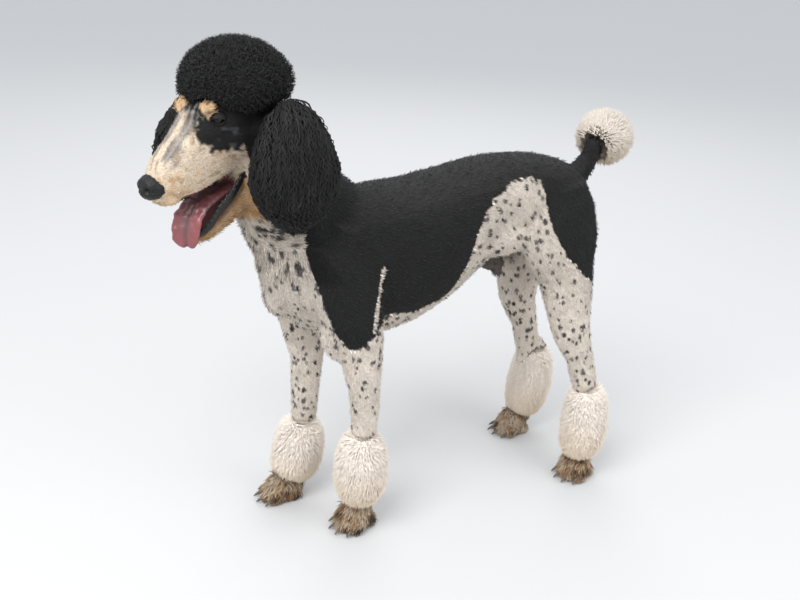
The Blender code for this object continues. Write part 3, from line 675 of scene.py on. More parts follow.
class Bed:
    """A surface that hair grows from, as arrays of its triangles."""

    def __init__(self, obj):
        mesh = obj.data
        mesh.calc_loop_triangles()
        count = len(mesh.loop_triangles)
        corners, loops = np.empty(count * 3, np.int32), np.empty(count * 3, np.int32)
        mesh.loop_triangles.foreach_get("vertices", corners)
        mesh.loop_triangles.foreach_get("loops", loops)
        flat = np.empty(len(mesh.loops) * 2, np.float32)
        mesh.uv_layers["OFBake"].data.foreach_get("uv", flat)
        self.corners = corners.reshape(-1, 3)
        self.uv = flat.reshape(-1, 2)[loops].reshape(-1, 3, 2)
        self.places, self.ways = places(obj), outward(obj)
        a, b, c = (self.places[self.corners[:, k]] for k in range(3))
        self.area = np.linalg.norm(np.cross(b - a, c - a), axis=1) / 2
        self.centres = (a + b + c) / 3

    def scatter(self, count, seed, keep=None):
        """About that many even random roots: place, outward way and map place."""
        draw = np.random.default_rng(seed)
        weight = self.area * (1 if keep is None else keep(self.centres, self.ways[self.corners[:, 0]]))
        total = weight.sum()
        picked = draw.choice(len(weight), count * 4, p=weight / total)
        a, b = draw.random((2, count * 4))
        over = a + b > 1
        a[over], b[over] = 1 - a[over], 1 - b[over]
        share = np.stack([1 - a - b, a, b], 1)[:, :, None]
        root = (self.places[self.corners[picked]] * share).sum(1)
        way = (self.ways[self.corners[picked]] * share).sum(1)
        flat = (self.uv[picked] * share).sum(1)
        cell = np.floor(root / (0.92 * (total / count) ** 0.5)).astype(int)
        _, first = np.unique(cell, axis=0, return_index=True)
        first = draw.permutation(first)[:count]
        way = way[first] / np.linalg.norm(way[first], axis=1)[:, None]
        return root[first], way, flat[first]


unwrap(skin)
skin_bed = Bed(skin)
print("skin area is", round(skin_bed.area.sum(), 3), "square metres")

# %% [markdown]
# A hair leaves the skin at one angle and bends over to another, so each tuft starts as a bent
# line. All lines of a piece are worked out at once as arrays, because a loop over thousands of
# tufts would be slow.

# %% Bend lines for tufts


def spines(roots, ways, lies, lengths, rings, lean, sink=0.0012, jitter=6.0, seed=1):
    """Lines from each root: they leave the skin at one angle and end at another."""
    draw = np.random.default_rng(seed)
    count = len(roots)
    across = np.cross(lies, ways)
    swing = radians(1) * jitter * draw.normal(size=(count, 1))
    along = lies * np.cos(swing) + across * np.sin(swing)
    lift = radians(1) * jitter * 0.7 * draw.normal(size=(count, 1))
    line = [roots - ways * sink]
    for k in range(rings):
        angle = radians(lean[0] + (lean[1] - lean[0]) * (k + 0.5) / rings) + lift
        line.append(line[-1] + (along * np.cos(angle) + ways * np.sin(angle)) * (lengths[:, None] / rings))
    return np.stack(line, 1)


# %% [markdown]
# A tuft is a closed three-sided spike that follows such a line: three corners at each ring and
# one point at the tip. That is the fewest triangles that still look solid from every side. The
# stored normals lean towards the skin's, as light on a real coat follows the body more than each
# hair.

# %% Clothe the lines with hair
PATCH = 0.003  # a tuft's size on the flat map


def clothe(name, line, ups, widths, colours, flat_places, finish,
           thick=0.5, soft=0.55, root_shade=0.6, full=0.35):
    """Turn lines into closed spikes: colours darken towards the root, as painted shade."""
    count, steps = line.shape[:2]
    rings = steps - 1
    if ups.ndim == 2:
        ups = np.repeat(ups[:, None], steps, 1)
    # axes along each line
    ahead = np.gradient(line, axis=1)
    ahead /= np.maximum(np.linalg.norm(ahead, axis=2, keepdims=True), 1e-9)
    across = np.cross(ahead, ups)
    across /= np.maximum(np.linalg.norm(across, axis=2, keepdims=True), 1e-9)
    over = np.cross(across, ahead)
    # corners, wide near the root and thin at the tip
    t = np.arange(rings) / rings
    profile = np.minimum(0.55 + t / full * 0.45, 1) * (1 - np.clip((t - full) / (1 - full), 0, 1) ** 1.7)
    half = widths[:, None, None] * profile[None, :, None] / 2
    side, top = across[:, :rings] * half, over[:, :rings] * half * 2 * thick
    ring = np.stack([line[:, :rings] - side, line[:, :rings] + side, line[:, :rings] + top], 2)
    verts = np.concatenate([ring.reshape(count, rings * 3, 3), line[:, rings:]], 1)
    # normals, between the spike's own and the skin's
    leans = np.stack([-across[:, :rings] * 0.8, across[:, :rings] * 0.8, over[:, :rings]], 2)
    leans = np.concatenate([leans.reshape(count, rings * 3, 3), ahead[:, rings:]], 1)
    up_all = np.concatenate([np.repeat(ups[:, :rings], 3, 1), ups[:, rings:]], 1)
    normals = leans * (1 - soft) + up_all * soft
    normals /= np.linalg.norm(normals, axis=2, keepdims=True)
    # faces: a cap at the root, bands of quads and a fan at the tip
    quads, fans = [], [(0, 1, 2)]
    for k in range(rings - 1):
        a, b = 3 * k, 3 * k + 3
        for j in range(3):
            m = (j + 1) % 3
            quads.append((a + m, a + j, b + j, b + m))
    last = 3 * (rings - 1)
    fans += [(last + (j + 1) % 3, last + j, 3 * rings) for j in range(3)]
    per = rings * 3 + 1
    start = (np.arange(count) * per)[:, None, None]
    quad_loops = (np.array(quads, np.int64).reshape(1, -1, 4) + start).reshape(count, -1)
    fan_loops = (np.array(fans, np.int64).reshape(1, -1, 3) + start).reshape(count, -1)
    loops = np.concatenate([quad_loops, fan_loops], 1).ravel()
    sizes = np.tile(np.array([4] * len(quads) + [3] * len(fans)), count)
    mesh = bpy.data.meshes.new(name)
    mesh.vertices.add(count * per)
    mesh.vertices.foreach_set("co", verts.astype(np.float32).ravel())
    mesh.loops.add(len(loops))
    mesh.loops.foreach_set("vertex_index", loops.astype(np.int32))
    mesh.polygons.add(len(sizes))
    mesh.polygons.foreach_set("loop_start", (np.cumsum(sizes) - sizes).astype(np.int32))
    mesh.update(calc_edges=True)
    made = bpy.data.objects.new(name, mesh)
    bpy.context.scene.collection.objects.link(made)
    # colour and flat map
    depth = np.concatenate([np.repeat(t, 3), [1.0]])
    shade = root_shade + (1 - root_shade) * np.minimum(depth * 1.25, 1)
    paint(made, (colours[:, None] * shade[None, :, None]).reshape(-1, 3))
    patch = np.stack([np.concatenate([np.tile((0, 1, 0.5), rings), [0.5]]), depth], 1)
    patch = patch * PATCH - PATCH / 2
    flat = (flat_places[:, None] + patch[None]).reshape(-1, 2)
    mesh.uv_layers.new(name="OFBake").data.foreach_set("uv", flat[loops].astype(np.float32).ravel())
    mesh.shade_smooth()
    mesh.normals_split_custom_set_from_vertices(normals.reshape(-1, 3).astype(np.float32))
    mesh.materials.append(FINISH[finish])
    return made


print("a tuft of three rings has", 6 * 2 + 4, "triangles")

# %% [markdown]
# The hair balls on head, ears, legs and tail hide the skin, so each gets a core of its own: the
# frame's solid, remeshed and set in by the depth of its curls. The core shows only as dark or
# pale wool between them.

# %% Cores of the hair balls


def core(node_name, depth, colour, cell=0.0042):
    """The wool under a hair ball."""
    made = copy_of(node_name + "_wool", node_name)
    remesh(made, cell, 6)
    modify(made, "DISPLACE", strength=-depth, mid_level=0.0)
    modify(made, "SMOOTH", factor=0.5, iterations=3)
    unwrap(made)
    paint(made, np.tile(np.array(colour), (len(made.data.vertices), 1)))
    made.data.shade_smooth()
    made.data.materials.append(FINISH["hide"])
    return made


BLACK_WOOL = (0.006, 0.006, 0.006)
BRACELET_WOOL = (0.93, 0.87, 0.79)
POM_WOOL = (0.62, 0.54, 0.45)
CORES = {"topknot": core("topknot", 0.009, BLACK_WOOL)}
for side in SIDES:
    CORES[f"ear_{side}"] = core(f"ear_{side}", 0.0075, BLACK_WOOL)
for leg in LEGS:
    CORES[f"bracelet_{leg}"] = core(f"bracelet_{leg}", 0.0075, BRACELET_WOOL)
CORES["tail_pom"] = core("tail_pom", 0.010, POM_WOOL)
BEDS = {name: Bed(obj) for name, obj in CORES.items()}
for name, obj in CORES.items():
    finish_piece(obj, [name])

# %% [markdown]
# No tuft of the body coat may grow under a hair ball, in the mouth or in the eye's opening. It is
# easiest to drop those roots before any hair is made. A point is inside a solid when the nearest
# bit of its surface faces away from it.

# %% Where no body coat grows
BALLS = ["topknot", "tail_pom"] + [f"ear_{side}" for side in SIDES] + [f"bracelet_{leg}" for leg in LEGS]


def tree_of(obj):
    """A search tree of a mesh's faces."""
    mesh = obj.data
    return BVHTree.FromPolygons([v.co for v in mesh.vertices], [tuple(f.vertices) for f in mesh.polygons])


ball_trees = {name: (tree_of(nodes[name]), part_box(name)) for name in BALLS}


def under_ball(points, margin=0.004):
    """True for points well inside a hair ball."""
    hidden = np.zeros(len(points), bool)
    for tree, (low, high) in ball_trees.values():
        near = ((points > np.array(low)) & (points < np.array(high))).all(1)
        for i in np.nonzero(near)[0]:
            spot, way, _, apart = tree.find_nearest(points[i])
            if (Vector(points[i]) - spot).dot(way) < 0 and apart > margin:
                hidden[i] = True
    return hidden


EYE_ROOM = 0.0105


def bare(points, ways):
    """True for the skin inside the mouth, on the lips and in the eye's opening."""
    local = to_head(points)
    inside, lips = mouth_zones(local, ways @ TURN)
    local[:, 0] = abs(local[:, 0])
    return inside | lips | (np.linalg.norm(local - OPENING, axis=1) < EYE_ROOM)


print(int(bare(skin_places, skin_ways).sum()), "of the skin's points stay bare")

# %% [markdown]
# The clipped coat is short hair that lies back along the body. It comes in four pieces: black,
# white before, white behind, and face. Each has its own width and lean. Black takes fewer and
# wider tufts, because its hairs hardly show apart, and the face takes the finest.

# %% The clipped coat


def body_tufts(name, count, seed, keep, finish, length, width, lean,
               vary=(0.84, 1.14), soft=0.6, jitter=9):
    """Short tufts over part of the skin, coloured by the markings at their roots."""
    root, way, flat = skin_bed.scatter(count, seed, keep)
    seen = ~under_ball(root) & ~bare(root, way)
    root, way, flat = root[seen], way[seen], flat[seen]
    draw = np.random.default_rng(seed + 1)
    lie = lie_of(root, way)
    long = length(root) * draw.uniform(0.75, 1.25, len(root))
    line = spines(root, way, lie, long, 2, lean, seed=seed + 2, jitter=jitter)
    colours = markings(root + lie * long[:, None] * 0.45, way) * draw.uniform(*vary, (len(root), 1))
    wide = width * draw.uniform(0.75, 1.25, len(root))
    made = clothe(name, line, way, wide, colours, flat, finish, thick=0.42, soft=soft, root_shade=0.72)
    finish_piece(made)


COAT_SPLIT, BODY_LENGTH = 0.06, 0.0078


def on_face(points):
    """1 on the face, where hair is shortest."""
    return smooth_step(0.060, 0.045, to_head(points)[:, 1]) * (points[:, 2] > 0.5)


def keep_black(points, ways):
    """Density of the black body coat."""
    return (black_share(points) > 0.5) * (1 - on_face(points)) * (points[:, 2] > 0.06) + 1e-9


def keep_white(points, ways):
    """Density of the white body coat."""
    return (black_share(points) <= 0.5) * (1 - on_face(points)) * (points[:, 2] > 0.06) + 1e-9


def keep_white_fore(points, ways):
    """Density of its fore half, which is a piece of its own."""
    return keep_white(points, ways) * (points[:, 1] < COAT_SPLIT)


def keep_white_hind(points, ways):
    """Density of its hind half."""
    return keep_white(points, ways) * (points[:, 1] >= COAT_SPLIT)


def keep_face(points, ways):
    """Density of the face's fine coat."""
    return on_face(points) + 1e-9


def body_length(points):
    """The clipped body coat has one length."""
    return np.full(len(points), BODY_LENGTH)


def face_length(points):
    """Short on the muzzle, longer on the brows, cheeks and chin."""
    local = to_head(points)
    long = 0.0050 + 0.0030 * smooth_step(-0.05, 0.02, local[:, 1])
    for brow in BROWS:
        long = np.maximum(long, 0.0110 * (np.linalg.norm(local - brow, axis=1) < 0.013))
    return long + 0.0045 * smooth_step(-0.125, -0.145, local[:, 2])


WHITE_LEAN, WHITE_WIDTH = (40, 10), 0.0015
body_tufts("coat_black", 11500, 31, keep_black, "black_hair",
           body_length, 0.0021, (52, 4), (0.40, 1.9), soft=0.40, jitter=14)
body_tufts("coat_white_fore", 15000, 41, keep_white_fore, "white_hair",
           body_length, WHITE_WIDTH, WHITE_LEAN, jitter=17)
body_tufts("coat_white_hind", 15500, 45, keep_white_hind, "white_hair",
           body_length, WHITE_WIDTH, WHITE_LEAN, jitter=17)
body_tufts("coat_face", 15000, 51, keep_face, "white_hair",
           face_length, 0.00125, (42, 12), (0.66, 1.26), jitter=13)

# %% [markdown]
# The topknot is a ball of small tight curls. Each curl is a tuft whose line winds round a
# short axis that stands out from the wool. A bump in the material would be cheaper, but it would
# leave a smooth edge, and curls show most at the edge.

# %% Curls of the topknot
CURL_REACH, CURL_RADIUS, CURL_TURNS, CURL_WIDTH, CURL_RINGS = 0.0115, 0.0017, 1.3, 0.0015, 5
CURL_BLACK = (0.0098, 0.0096, 0.0094)


def curls(count, seed):
    """Helical tufts that stand out from the topknot's core."""
    root, way, flat = BEDS["topknot"].scatter(count, seed)
    draw = np.random.default_rng(seed + 1)
    number = len(root)
    axis = way + 0.28 * draw.normal(size=(number, 3))
    axis /= np.linalg.norm(axis, axis=1)[:, None]
    one = np.cross(axis, draw.normal(size=(number, 3)))
    one /= np.linalg.norm(one, axis=1)[:, None]
    two = np.cross(axis, one) * draw.choice((-1, 1), (number, 1))
    t = np.linspace(0, 1, CURL_RINGS + 1)
    turn = 2 * pi * CURL_TURNS * t[None] + draw.uniform(0, 2 * pi, (number, 1))
    out = CURL_RADIUS * draw.uniform(0.7, 1.2, (number, 1)) * np.minimum(t * 3, 1)[None]
    tall = CURL_REACH * draw.uniform(0.80, 1.12, (number, 1)) * t[None] - 0.001
    line = root[:, None] + axis[:, None] * tall[..., None]
    line += one[:, None] * (out * np.cos(turn))[..., None] + two[:, None] * (out * np.sin(turn))[..., None]
    colours = np.array(CURL_BLACK) * draw.uniform(0.45, 1.8, (number, 1))
    wide = CURL_WIDTH * draw.uniform(0.8, 1.2, number)
    made = clothe("topknot_curls", line, way, wide, colours, flat, "black_hair",
                  thick=0.6, soft=0.35, root_shade=0.45, full=0.5)
    finish_piece(made, ["topknot"])


curls(6900, 61)

# %% [markdown]
# The ears carry long crimped locks that hang. Each lock walks down over the core a step at a
# time, kept at its own height above it, and sways from side to side. Neighbours sway together,
# which draws the level ripples of wavy hair.

# %% Locks of the ears
CRIMP, SWAY, RISE = 0.0118, 0.0024, 0.0015  # length of a wave, and its reach to the side and up
LOCK_LENGTHS, LOCK_HEIGHTS, LOCK_WIDTHS = (0.036, 0.074), (0.0030, 0.0082), (0.0026, 0.0050)
LOCK_RINGS = 10
LOCK_BLACK = (0.0085, 0.0083, 0.0081)


def hanging_locks(ear, count, seed):
    """Wavy locks that follow an ear's core downwards."""
    draw = np.random.default_rng(seed)
    root, way, flat = BEDS[ear].scatter(count, seed + 1)
    number = len(root)
    core_tree, shell_tree = tree_of(CORES[ear]), ball_trees[ear][0]
    # no lock hangs much below the ear
    room = []
    for q in root:
        hit = shell_tree.ray_cast(Vector(q), Vector((0, 0, -1)))
        room.append(hit[3] if hit[0] is not None else 0.02)
    room = np.array(room)
    long = np.minimum(draw.uniform(*LOCK_LENGTHS, number), np.maximum(room + 0.004, 0.018))
    rise = draw.uniform(*LOCK_HEIGHTS, number)
    # walk down over the core
    place, line, ups = root.copy(), [root - way * 0.001], [way.copy()]
    for k in range(LOCK_RINGS):
        t = (k + 1) / LOCK_RINGS
        fall = np.tile((0.0, 0.0, -1.0), (number, 1))
        fall -= (fall * ups[-1]).sum(1)[:, None] * ups[-1] * 0.85
        fall[:, 2] -= 0.25
        fall /= np.linalg.norm(fall, axis=1)[:, None]
        place = place + fall * (long / LOCK_RINGS)[:, None]
        up = ups[-1].copy()
        for i in range(number):
            spot, facing, _, _ = core_tree.find_nearest(place[i])
            if facing.z > -0.55:
                place[i] = np.array(spot + facing * (rise[i] * min(2.2 * t, 1)))
                up[i] = facing
        line.append(place.copy())
        ups.append(up)
    line, ups = np.stack(line, 1), np.stack(ups, 1)
    # crimp
    t = np.linspace(0, 1, LOCK_RINGS + 1)[None]
    phase = 2 * pi * line[:, :, 2] / (CRIMP * (1 + 0.22 * ripple(root, 0.020, seed + 3)[:, None]))
    phase += 2.2 * ripple(root, 0.016, seed)[:, None] + draw.normal(0, 0.45, (number, 1))
    across = np.cross(np.gradient(line, axis=1), ups)
    across /= np.maximum(np.linalg.norm(across, axis=2, keepdims=True), 1e-9)
    sway = SWAY * draw.uniform(0.6, 1.3, (number, 1)) * np.minimum(t * 4, 1) * np.sin(phase)
    lift = RISE * np.minimum(t * 4, 1) * np.cos(phase)
    line += across * sway[..., None] + ups * lift[..., None]
    colours = np.array(LOCK_BLACK) * draw.uniform(0.5, 1.9, (number, 1))
    wide = draw.uniform(*LOCK_WIDTHS, number)
    made = clothe(ear + "_locks", line, ups, wide, colours, flat, "black_hair",
                  thick=0.55, soft=0.3, root_shade=0.5, full=0.3)
    finish_piece(made, [ear])


for i, side in enumerate(SIDES):
    hanging_locks(f"ear_{side}", 2300, 71 + 10 * i)

# %% [markdown]
# The bracelets and the pom are brushed out: fine straight hair that stands off the core and
# bends a little under its own weight, so the ball looks soft and its edge is feathery.

# %% Brushed hair of the bracelets and the pom
PLUSH = (0.95, 0.85, 0.74)
PLUSH_WARM = (0.93, 0.74, 0.53)


def brushed(node_name, count, seed, length, width, lean, parting, gravity, rings=2, tone=1.0):
    """Straight soft hair that stands out from a core and falls away from a parting."""
    root, way, flat = BEDS[node_name].scatter(count, seed)
    draw = np.random.default_rng(seed + 1)
    fall = root - np.array(parting)
    fall /= np.linalg.norm(fall, axis=1)[:, None]
    waves = np.stack([ripple(root, 0.018, seed + k) for k in (2, 3, 4)], 1)
    fall = fall + np.array((0, 0, -gravity)) + 0.20 * waves
    fall -= (fall * way).sum(1)[:, None] * way
    fall /= np.maximum(np.linalg.norm(fall, axis=1), 1e-6)[:, None]
    long = length * draw.uniform(0.75, 1.2, len(root))
    line = spines(root, way, fall, long, rings, lean, seed=seed + 5, jitter=11)
    low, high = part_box(node_name)
    share = 1 - (root[:, 2] - low.z) / (high.z - low.z)
    colours = mix(np.tile(np.array(PLUSH), (len(root), 1)), smooth_step(0.3, 1.0, share) * 0.75, PLUSH_WARM)
    colours = colours * tone * draw.uniform(0.90, 1.04, (len(root), 1))
    wide = width * draw.uniform(0.7, 1.3, len(root))
    made = clothe(node_name + "_hair", line, way, wide, colours, flat, "plush_hair",
                  soft=0.80, root_shade=0.97)
    finish_piece(made, [node_name])


for i, leg in enumerate(LEGS):
    low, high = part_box(f"bracelet_{leg}")
    middle = (low + high) / 2
    brushed(f"bracelet_{leg}", 6600, 101 + 10 * i, 0.0148, 0.0021, (58, 30),
            (middle.x, middle.y, high.z - 0.030), 0.30)
low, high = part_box("tail_pom")
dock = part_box("tail")
brushed("tail_pom", 5200, 151, 0.0165, 0.0022, (66, 50),
        ((dock[0].x + dock[1].x) / 2, dock[1].y - 0.01, dock[1].z - 0.01), 0.0, 3, 0.75)

# %% [markdown]
# The feet have longer, messy hair that falls over the toes, stained brown. Each strand is bent over
# more than the body's tufts are, and takes one of five colours, because a stain lies in patches.

# %% Hair of the paws
PAW_HAIR = np.array((  # cream, tan, orange, brown and near black, in the order of a stain
    (0.46, 0.36, 0.26), (0.36, 0.25, 0.145), (0.26, 0.15, 0.070), (0.125, 0.088, 0.056),
    (0.042, 0.035, 0.029),
))


def paw_hair(leg, count, seed):
    """Loose strands over one foot."""
    low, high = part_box(f"paw_{leg}")
    centre = np.array(((low.x + high.x) / 2, (low.y + high.y) / 2 + 0.015, high.z))

    def near(points, ways):
        """Density of the strands: one over this foot, nothing elsewhere."""
        inside = (points[:, :2] > np.array(low)[:2] - 0.004).all(1)
        inside &= (points[:, :2] < np.array(high)[:2] + 0.004).all(1)
        return inside * (points[:, 2] < high.z + 0.01) * (points[:, 2] > 0.006) * (ways[:, 2] > -0.5) + 1e-9

    root, way, flat = skin_bed.scatter(count, seed, near)
    draw = np.random.default_rng(seed + 1)
    number = len(root)
    fall = root - centre
    fall[:, 2] = -0.035
    fall += draw.normal(0, 0.012, (number, 3))
    fall -= (fall * way).sum(1)[:, None] * way
    fall /= np.maximum(np.linalg.norm(fall, axis=1), 1e-6)[:, None]
    long = np.minimum(draw.uniform(0.010, 0.021, number), 0.005 + root[:, 2] * 0.8)
    line = spines(root, way, fall, long, 4, (26, -16), seed=seed + 2, jitter=13)
    line[:, :, 2] = np.maximum(line[:, :, 2], 0.0012)
    stain = 1.9 + 1.9 * ripple(root, 0.010, seed) + draw.normal(0, 0.7, number)
    stain -= 1.2 * smooth_step(0.02, 0.05, root[:, 2])
    colours = PAW_HAIR[np.clip(stain, 0, 4.99).astype(int)]
    wide = draw.uniform(0.0014, 0.0030, number)
    made = clothe(f"paw_hair_{leg}", line, way, wide, colours, flat, "white_hair",
                  soft=0.45, root_shade=0.5)
    finish_piece(made)


for i, leg in enumerate(LEGS):
    paw_hair(leg, 1450, 171 + 10 * i)

# %% [markdown]
# The skin rides on the body and stands for every solid of flesh. It is attached only now, because the coats
# had to read its shape and its flat map first.

# %% Attach the skin
finish_piece(skin, FLESH)

# %% [markdown]
# Horn, wet skin and eyes are smooth and glossy beside the hair, with their own fine texture. One
# function makes them all: a noise or a cell pattern runs from a dark to a light colour, and the
# same pattern gives the bump, so pores and scratches are both darker and lower.

# %% Finishes of the bare parts


def bare_finish(name, dark, light, roughness, scale, bump, distance, coat=0.0, kind="ShaderNodeTexNoise"):
    """Bare skin, horn or a wet part: two colours through a texture, with its bump."""
    made = bpy.data.materials.new(name)
    made.use_nodes = True
    tree = made.node_tree
    shader = tree.nodes["Principled BSDF"]
    shader.inputs["Roughness"].default_value = roughness
    shader.inputs["Specular IOR Level"].default_value = 0.3
    shader.inputs["Coat Weight"].default_value = coat
    shader.inputs["Coat Roughness"].default_value = 0.15
    place = node(tree, "ShaderNodeTexCoord")
    grain = node(tree, kind, Scale=scale)
    ramp = node(tree, "ShaderNodeValToRGB")
    ramp.color_ramp.elements[0].position, ramp.color_ramp.elements[1].position = 0.25, 0.75
    ramp.color_ramp.elements[0].color, ramp.color_ramp.elements[1].color = (*dark, 1), (*light, 1)
    height = node(tree, "ShaderNodeBump", Strength=bump, Distance=distance)
    value = grain.outputs["Distance" if kind == "ShaderNodeTexVoronoi" else "Fac"]
    tree.links.new(place.outputs["Object"], grain.inputs["Vector"])
    tree.links.new(value, ramp.inputs["Fac"])
    tree.links.new(ramp.outputs["Color"], shader.inputs["Base Color"])
    tree.links.new(value, height.inputs["Height"])
    tree.links.new(height.outputs["Normal"], shader.inputs["Normal"])
    return made


NOSE = bare_finish("nose_leather", (0.002, 0.002, 0.002), (0.0075, 0.0072, 0.0072),
                   0.44, 900, 0.6, 0.0006, 0.08, "ShaderNodeTexVoronoi")
LIP = bare_finish("lip_skin", (0.004, 0.004, 0.004), (0.013, 0.011, 0.011), 0.36, 500, 0.5, 0.0006, 0.2)
TOOTH = bare_finish("tooth_ivory", (0.62, 0.56, 0.44), (0.80, 0.76, 0.66), 0.25, 200, 0.1, 0.0003, 0.2)
HORN = bare_finish("claw_horn", (0.060, 0.048, 0.040), (0.190, 0.150, 0.115), 0.45, 260, 0.3, 0.0005)
LID = bare_finish("lid_skin", (0.003, 0.003, 0.003), (0.010, 0.009, 0.009), 0.65, 500, 0.5, 0.0006)

# %% [markdown]
# The nose is leather with two comma-shaped nostrils and a groove down the middle. A remesh of
# the frame's solid is fine enough to take them as the same soft strokes that shaped the face.

# %% Nose
nose = copy_of("nose_leather", "nose")
remesh(nose, 0.0011, 4)
local = to_head(places(nose))
NOSE_STROKES = (
    ((0.0105, -0.1435, -0.0395), (0.0044, 0.0060, 0.0040), (-0.0006, 0.0100, 0)),  # nostril
    ((0.0100, -0.1440, -0.0325), (0.0060, 0.0060, 0.0026), (0, -0.0010, 0)),  # rim above it
    ((0.0155, -0.1330, -0.0420), (0.0035, 0.0060, 0.0026), (-0.0045, 0.0010, 0)),  # its side slit
    ((0.0, -0.1430, -0.0480), (0.0016, 0.0060, 0.0120), (0, 0.0024, 0)),  # groove
    ((0.0, -0.1400, -0.0270), (0.0040, 0.0060, 0.0050), (0, 0.0008, -0.0008)),  # dip on top
)
for centre, reach, push in NOSE_STROKES:
    for mirror in (1, -1) if centre[0] else (1,):
        flip = np.array((mirror, 1, 1))
        local = stroke(local, flip * centre, reach, flip * push)
move_to(nose, from_head(local))
finish_piece(nose, ["nose"], NOSE)

# %% [markdown]
# The tongue hangs out of the left side of the mouth. It is a soft thick leaf with a groove down
# its middle and edges that cup up. The frame's solid bends the right way already, so each point is
# measured along and across a line drawn through it, and moved by where it lies.

# %% Tongue
TONGUE_RED, TONGUE_MAUVE = (0.225, 0.056, 0.060), (0.150, 0.078, 0.080)
GROOVE_SHADE_RED, MOUTH_SHADE_RED = (0.105, 0.040, 0.043), (0.075, 0.028, 0.030)
TONGUE_LINE = np.array((
    (0.001, 0.010, -0.111), (0.005, -0.050, -0.105), (0.007, -0.074, -0.105),
    (0.008, -0.092, -0.114), (0.008, -0.1045, -0.130), (0.008, -0.1105, -0.146), (0.008, -0.1115, -0.158),
))
TONGUE_ACROSS = np.array((1, 0.45, -0.1)) / np.linalg.norm((1, 0.45, -0.1))
tongue = copy_of("tongue_leaf", "tongue")
remesh(tongue, 0.0014, 8)
local, facing = to_head(places(tongue)), outward(tongue) @ TURN
t = np.linspace(0, len(TONGUE_LINE) - 1, 120)
steps = np.arange(len(TONGUE_LINE))
middle = np.stack([np.interp(t, steps, TONGUE_LINE[:, k]) for k in range(3)], 1)
nearest = np.linalg.norm(local[:, None] - middle[None], axis=2).argmin(1)
aside = (local - middle[nearest]) @ TONGUE_ACROSS
front = facing @ np.array((0.1, -0.75, 0.65)) > 0.1
groove = np.exp(-((aside / 0.0032) ** 2)) * front
cup = (aside / 0.024) ** 2 * front
tip = smooth_step(95, 118, nearest) * np.exp(-((aside / 0.0050) ** 2))
local += facing * (-0.0022 * groove + 0.0030 * cup + 0.0007 * ripple(local, 0.006, 90))[:, None]
local[:, 2] += 0.0028 * tip
move_to(tongue, from_head(local))
mauve = np.exp(-((aside / 0.011) ** 2)) * smooth_step(112, 60, nearest)
flesh = mix(np.tile(np.array(TONGUE_RED), (len(local), 1)), 0.80 * mauve, TONGUE_MAUVE)
# painted shade: darker in the groove, and on the back of the tongue inside the mouth
flesh = mix(flesh, 0.5 * groove, GROOVE_SHADE_RED)
flesh = mix(flesh, 0.8 * smooth_step(62, 30, nearest), MOUTH_SHADE_RED)
paint(tongue, flesh)
finish_piece(tongue, ["tongue"], FINISH["wet_flesh"])

# %% [markdown]
# The lower lips are bare, black and shiny, with a crimped edge. Each is a ball drawn out along
# the edge of the jaw. A small canine shows between lip and tongue on each side.

# %% Lower lips and canines
LIP_LINE = (  # x, y, z along the jaw, half height, half thickness
    (0.0340, 0.010, -0.090, 0.003, 0.002), (0.0335, 0.000, -0.097, 0.0065, 0.0035),
    (0.0320, -0.014, -0.106, 0.0080, 0.0040), (0.0295, -0.028, -0.114, 0.0085, 0.0042),
    (0.0270, -0.044, -0.1205, 0.0080, 0.0040), (0.0255, -0.056, -0.127, 0.0060, 0.0034),
    (0.0240, -0.068, -0.135, 0.0070, 0.0036), (0.0205, -0.080, -0.140, 0.0062, 0.0034),
    (0.0140, -0.093, -0.144, 0.0045, 0.0030), (0.0070, -0.100, -0.147, 0.003, 0.002),
)
CANINE = (0.0175, -0.084, -0.127)


def drawn_out(name, rows, sign):
    """A ball stretched along rows of place, half height and half thickness."""
    bpy.ops.object.select_all(action="DESELECT")
    bpy.ops.mesh.primitive_uv_sphere_add(segments=20, ring_count=90, radius=1.0)
    made = bpy.context.object
    made.name = name
    unit = places(made)
    turn = np.arccos(np.clip(unit[:, 2], -1, 1)) / pi
    ring = np.maximum(np.hypot(unit[:, 0], unit[:, 1]), 1e-6)
    c, s = unit[:, 0] / ring, unit[:, 1] / ring
    rows, steps = np.array(rows), np.linspace(0, 1, len(rows))
    x, y, z, tall, thick = (np.interp(turn, steps, rows[:, k]) for k in range(5))
    ends = np.minimum(1, 4 * np.sqrt(np.clip(turn * (1 - turn), 0, 1)))
    crimp = 1 + 0.16 * np.sin(turn * 95) * (s > 0)
    move_to(made, from_head(np.stack([sign * (x + c * thick * ends), y, z + s * tall * ends * crimp], 1)))
    return made


for side, sign in (("left", 1), ("right", -1)):
    lip = drawn_out(f"lip_{side}", LIP_LINE, sign)
    remesh(lip, 0.0010, 3)
    finish_piece(lip, finish=LIP)
    x, y, z = CANINE
    bpy.ops.object.select_all(action="DESELECT")
    bpy.ops.mesh.primitive_cone_add(
        vertices=16, radius1=0.0024, radius2=0.0007, depth=0.011, location=from_head([(sign * x, y, z)])[0])
    tooth = bpy.context.object
    tooth.name = f"canine_{side}"
    bpy.ops.object.transform_apply(location=True, rotation=True, scale=True)
    finish_piece(tooth, finish=TOOTH)

# %% [markdown]
# The eyes are dark and wet. Each is a ball with an iris and pupil drawn in rings round the
# gaze. It keeps the frame's place but is made new, because a true smooth sphere catches one
# clean highlight, as a wet eye does.

# %% Eyes
GAZE = Vector((0.80, -0.58, 0.10)).normalized()
EYE_RIM, IRIS, PUPIL = (0.007, 0.006, 0.0055), (0.0075, 0.0040, 0.0025), (0.002, 0.002, 0.002)


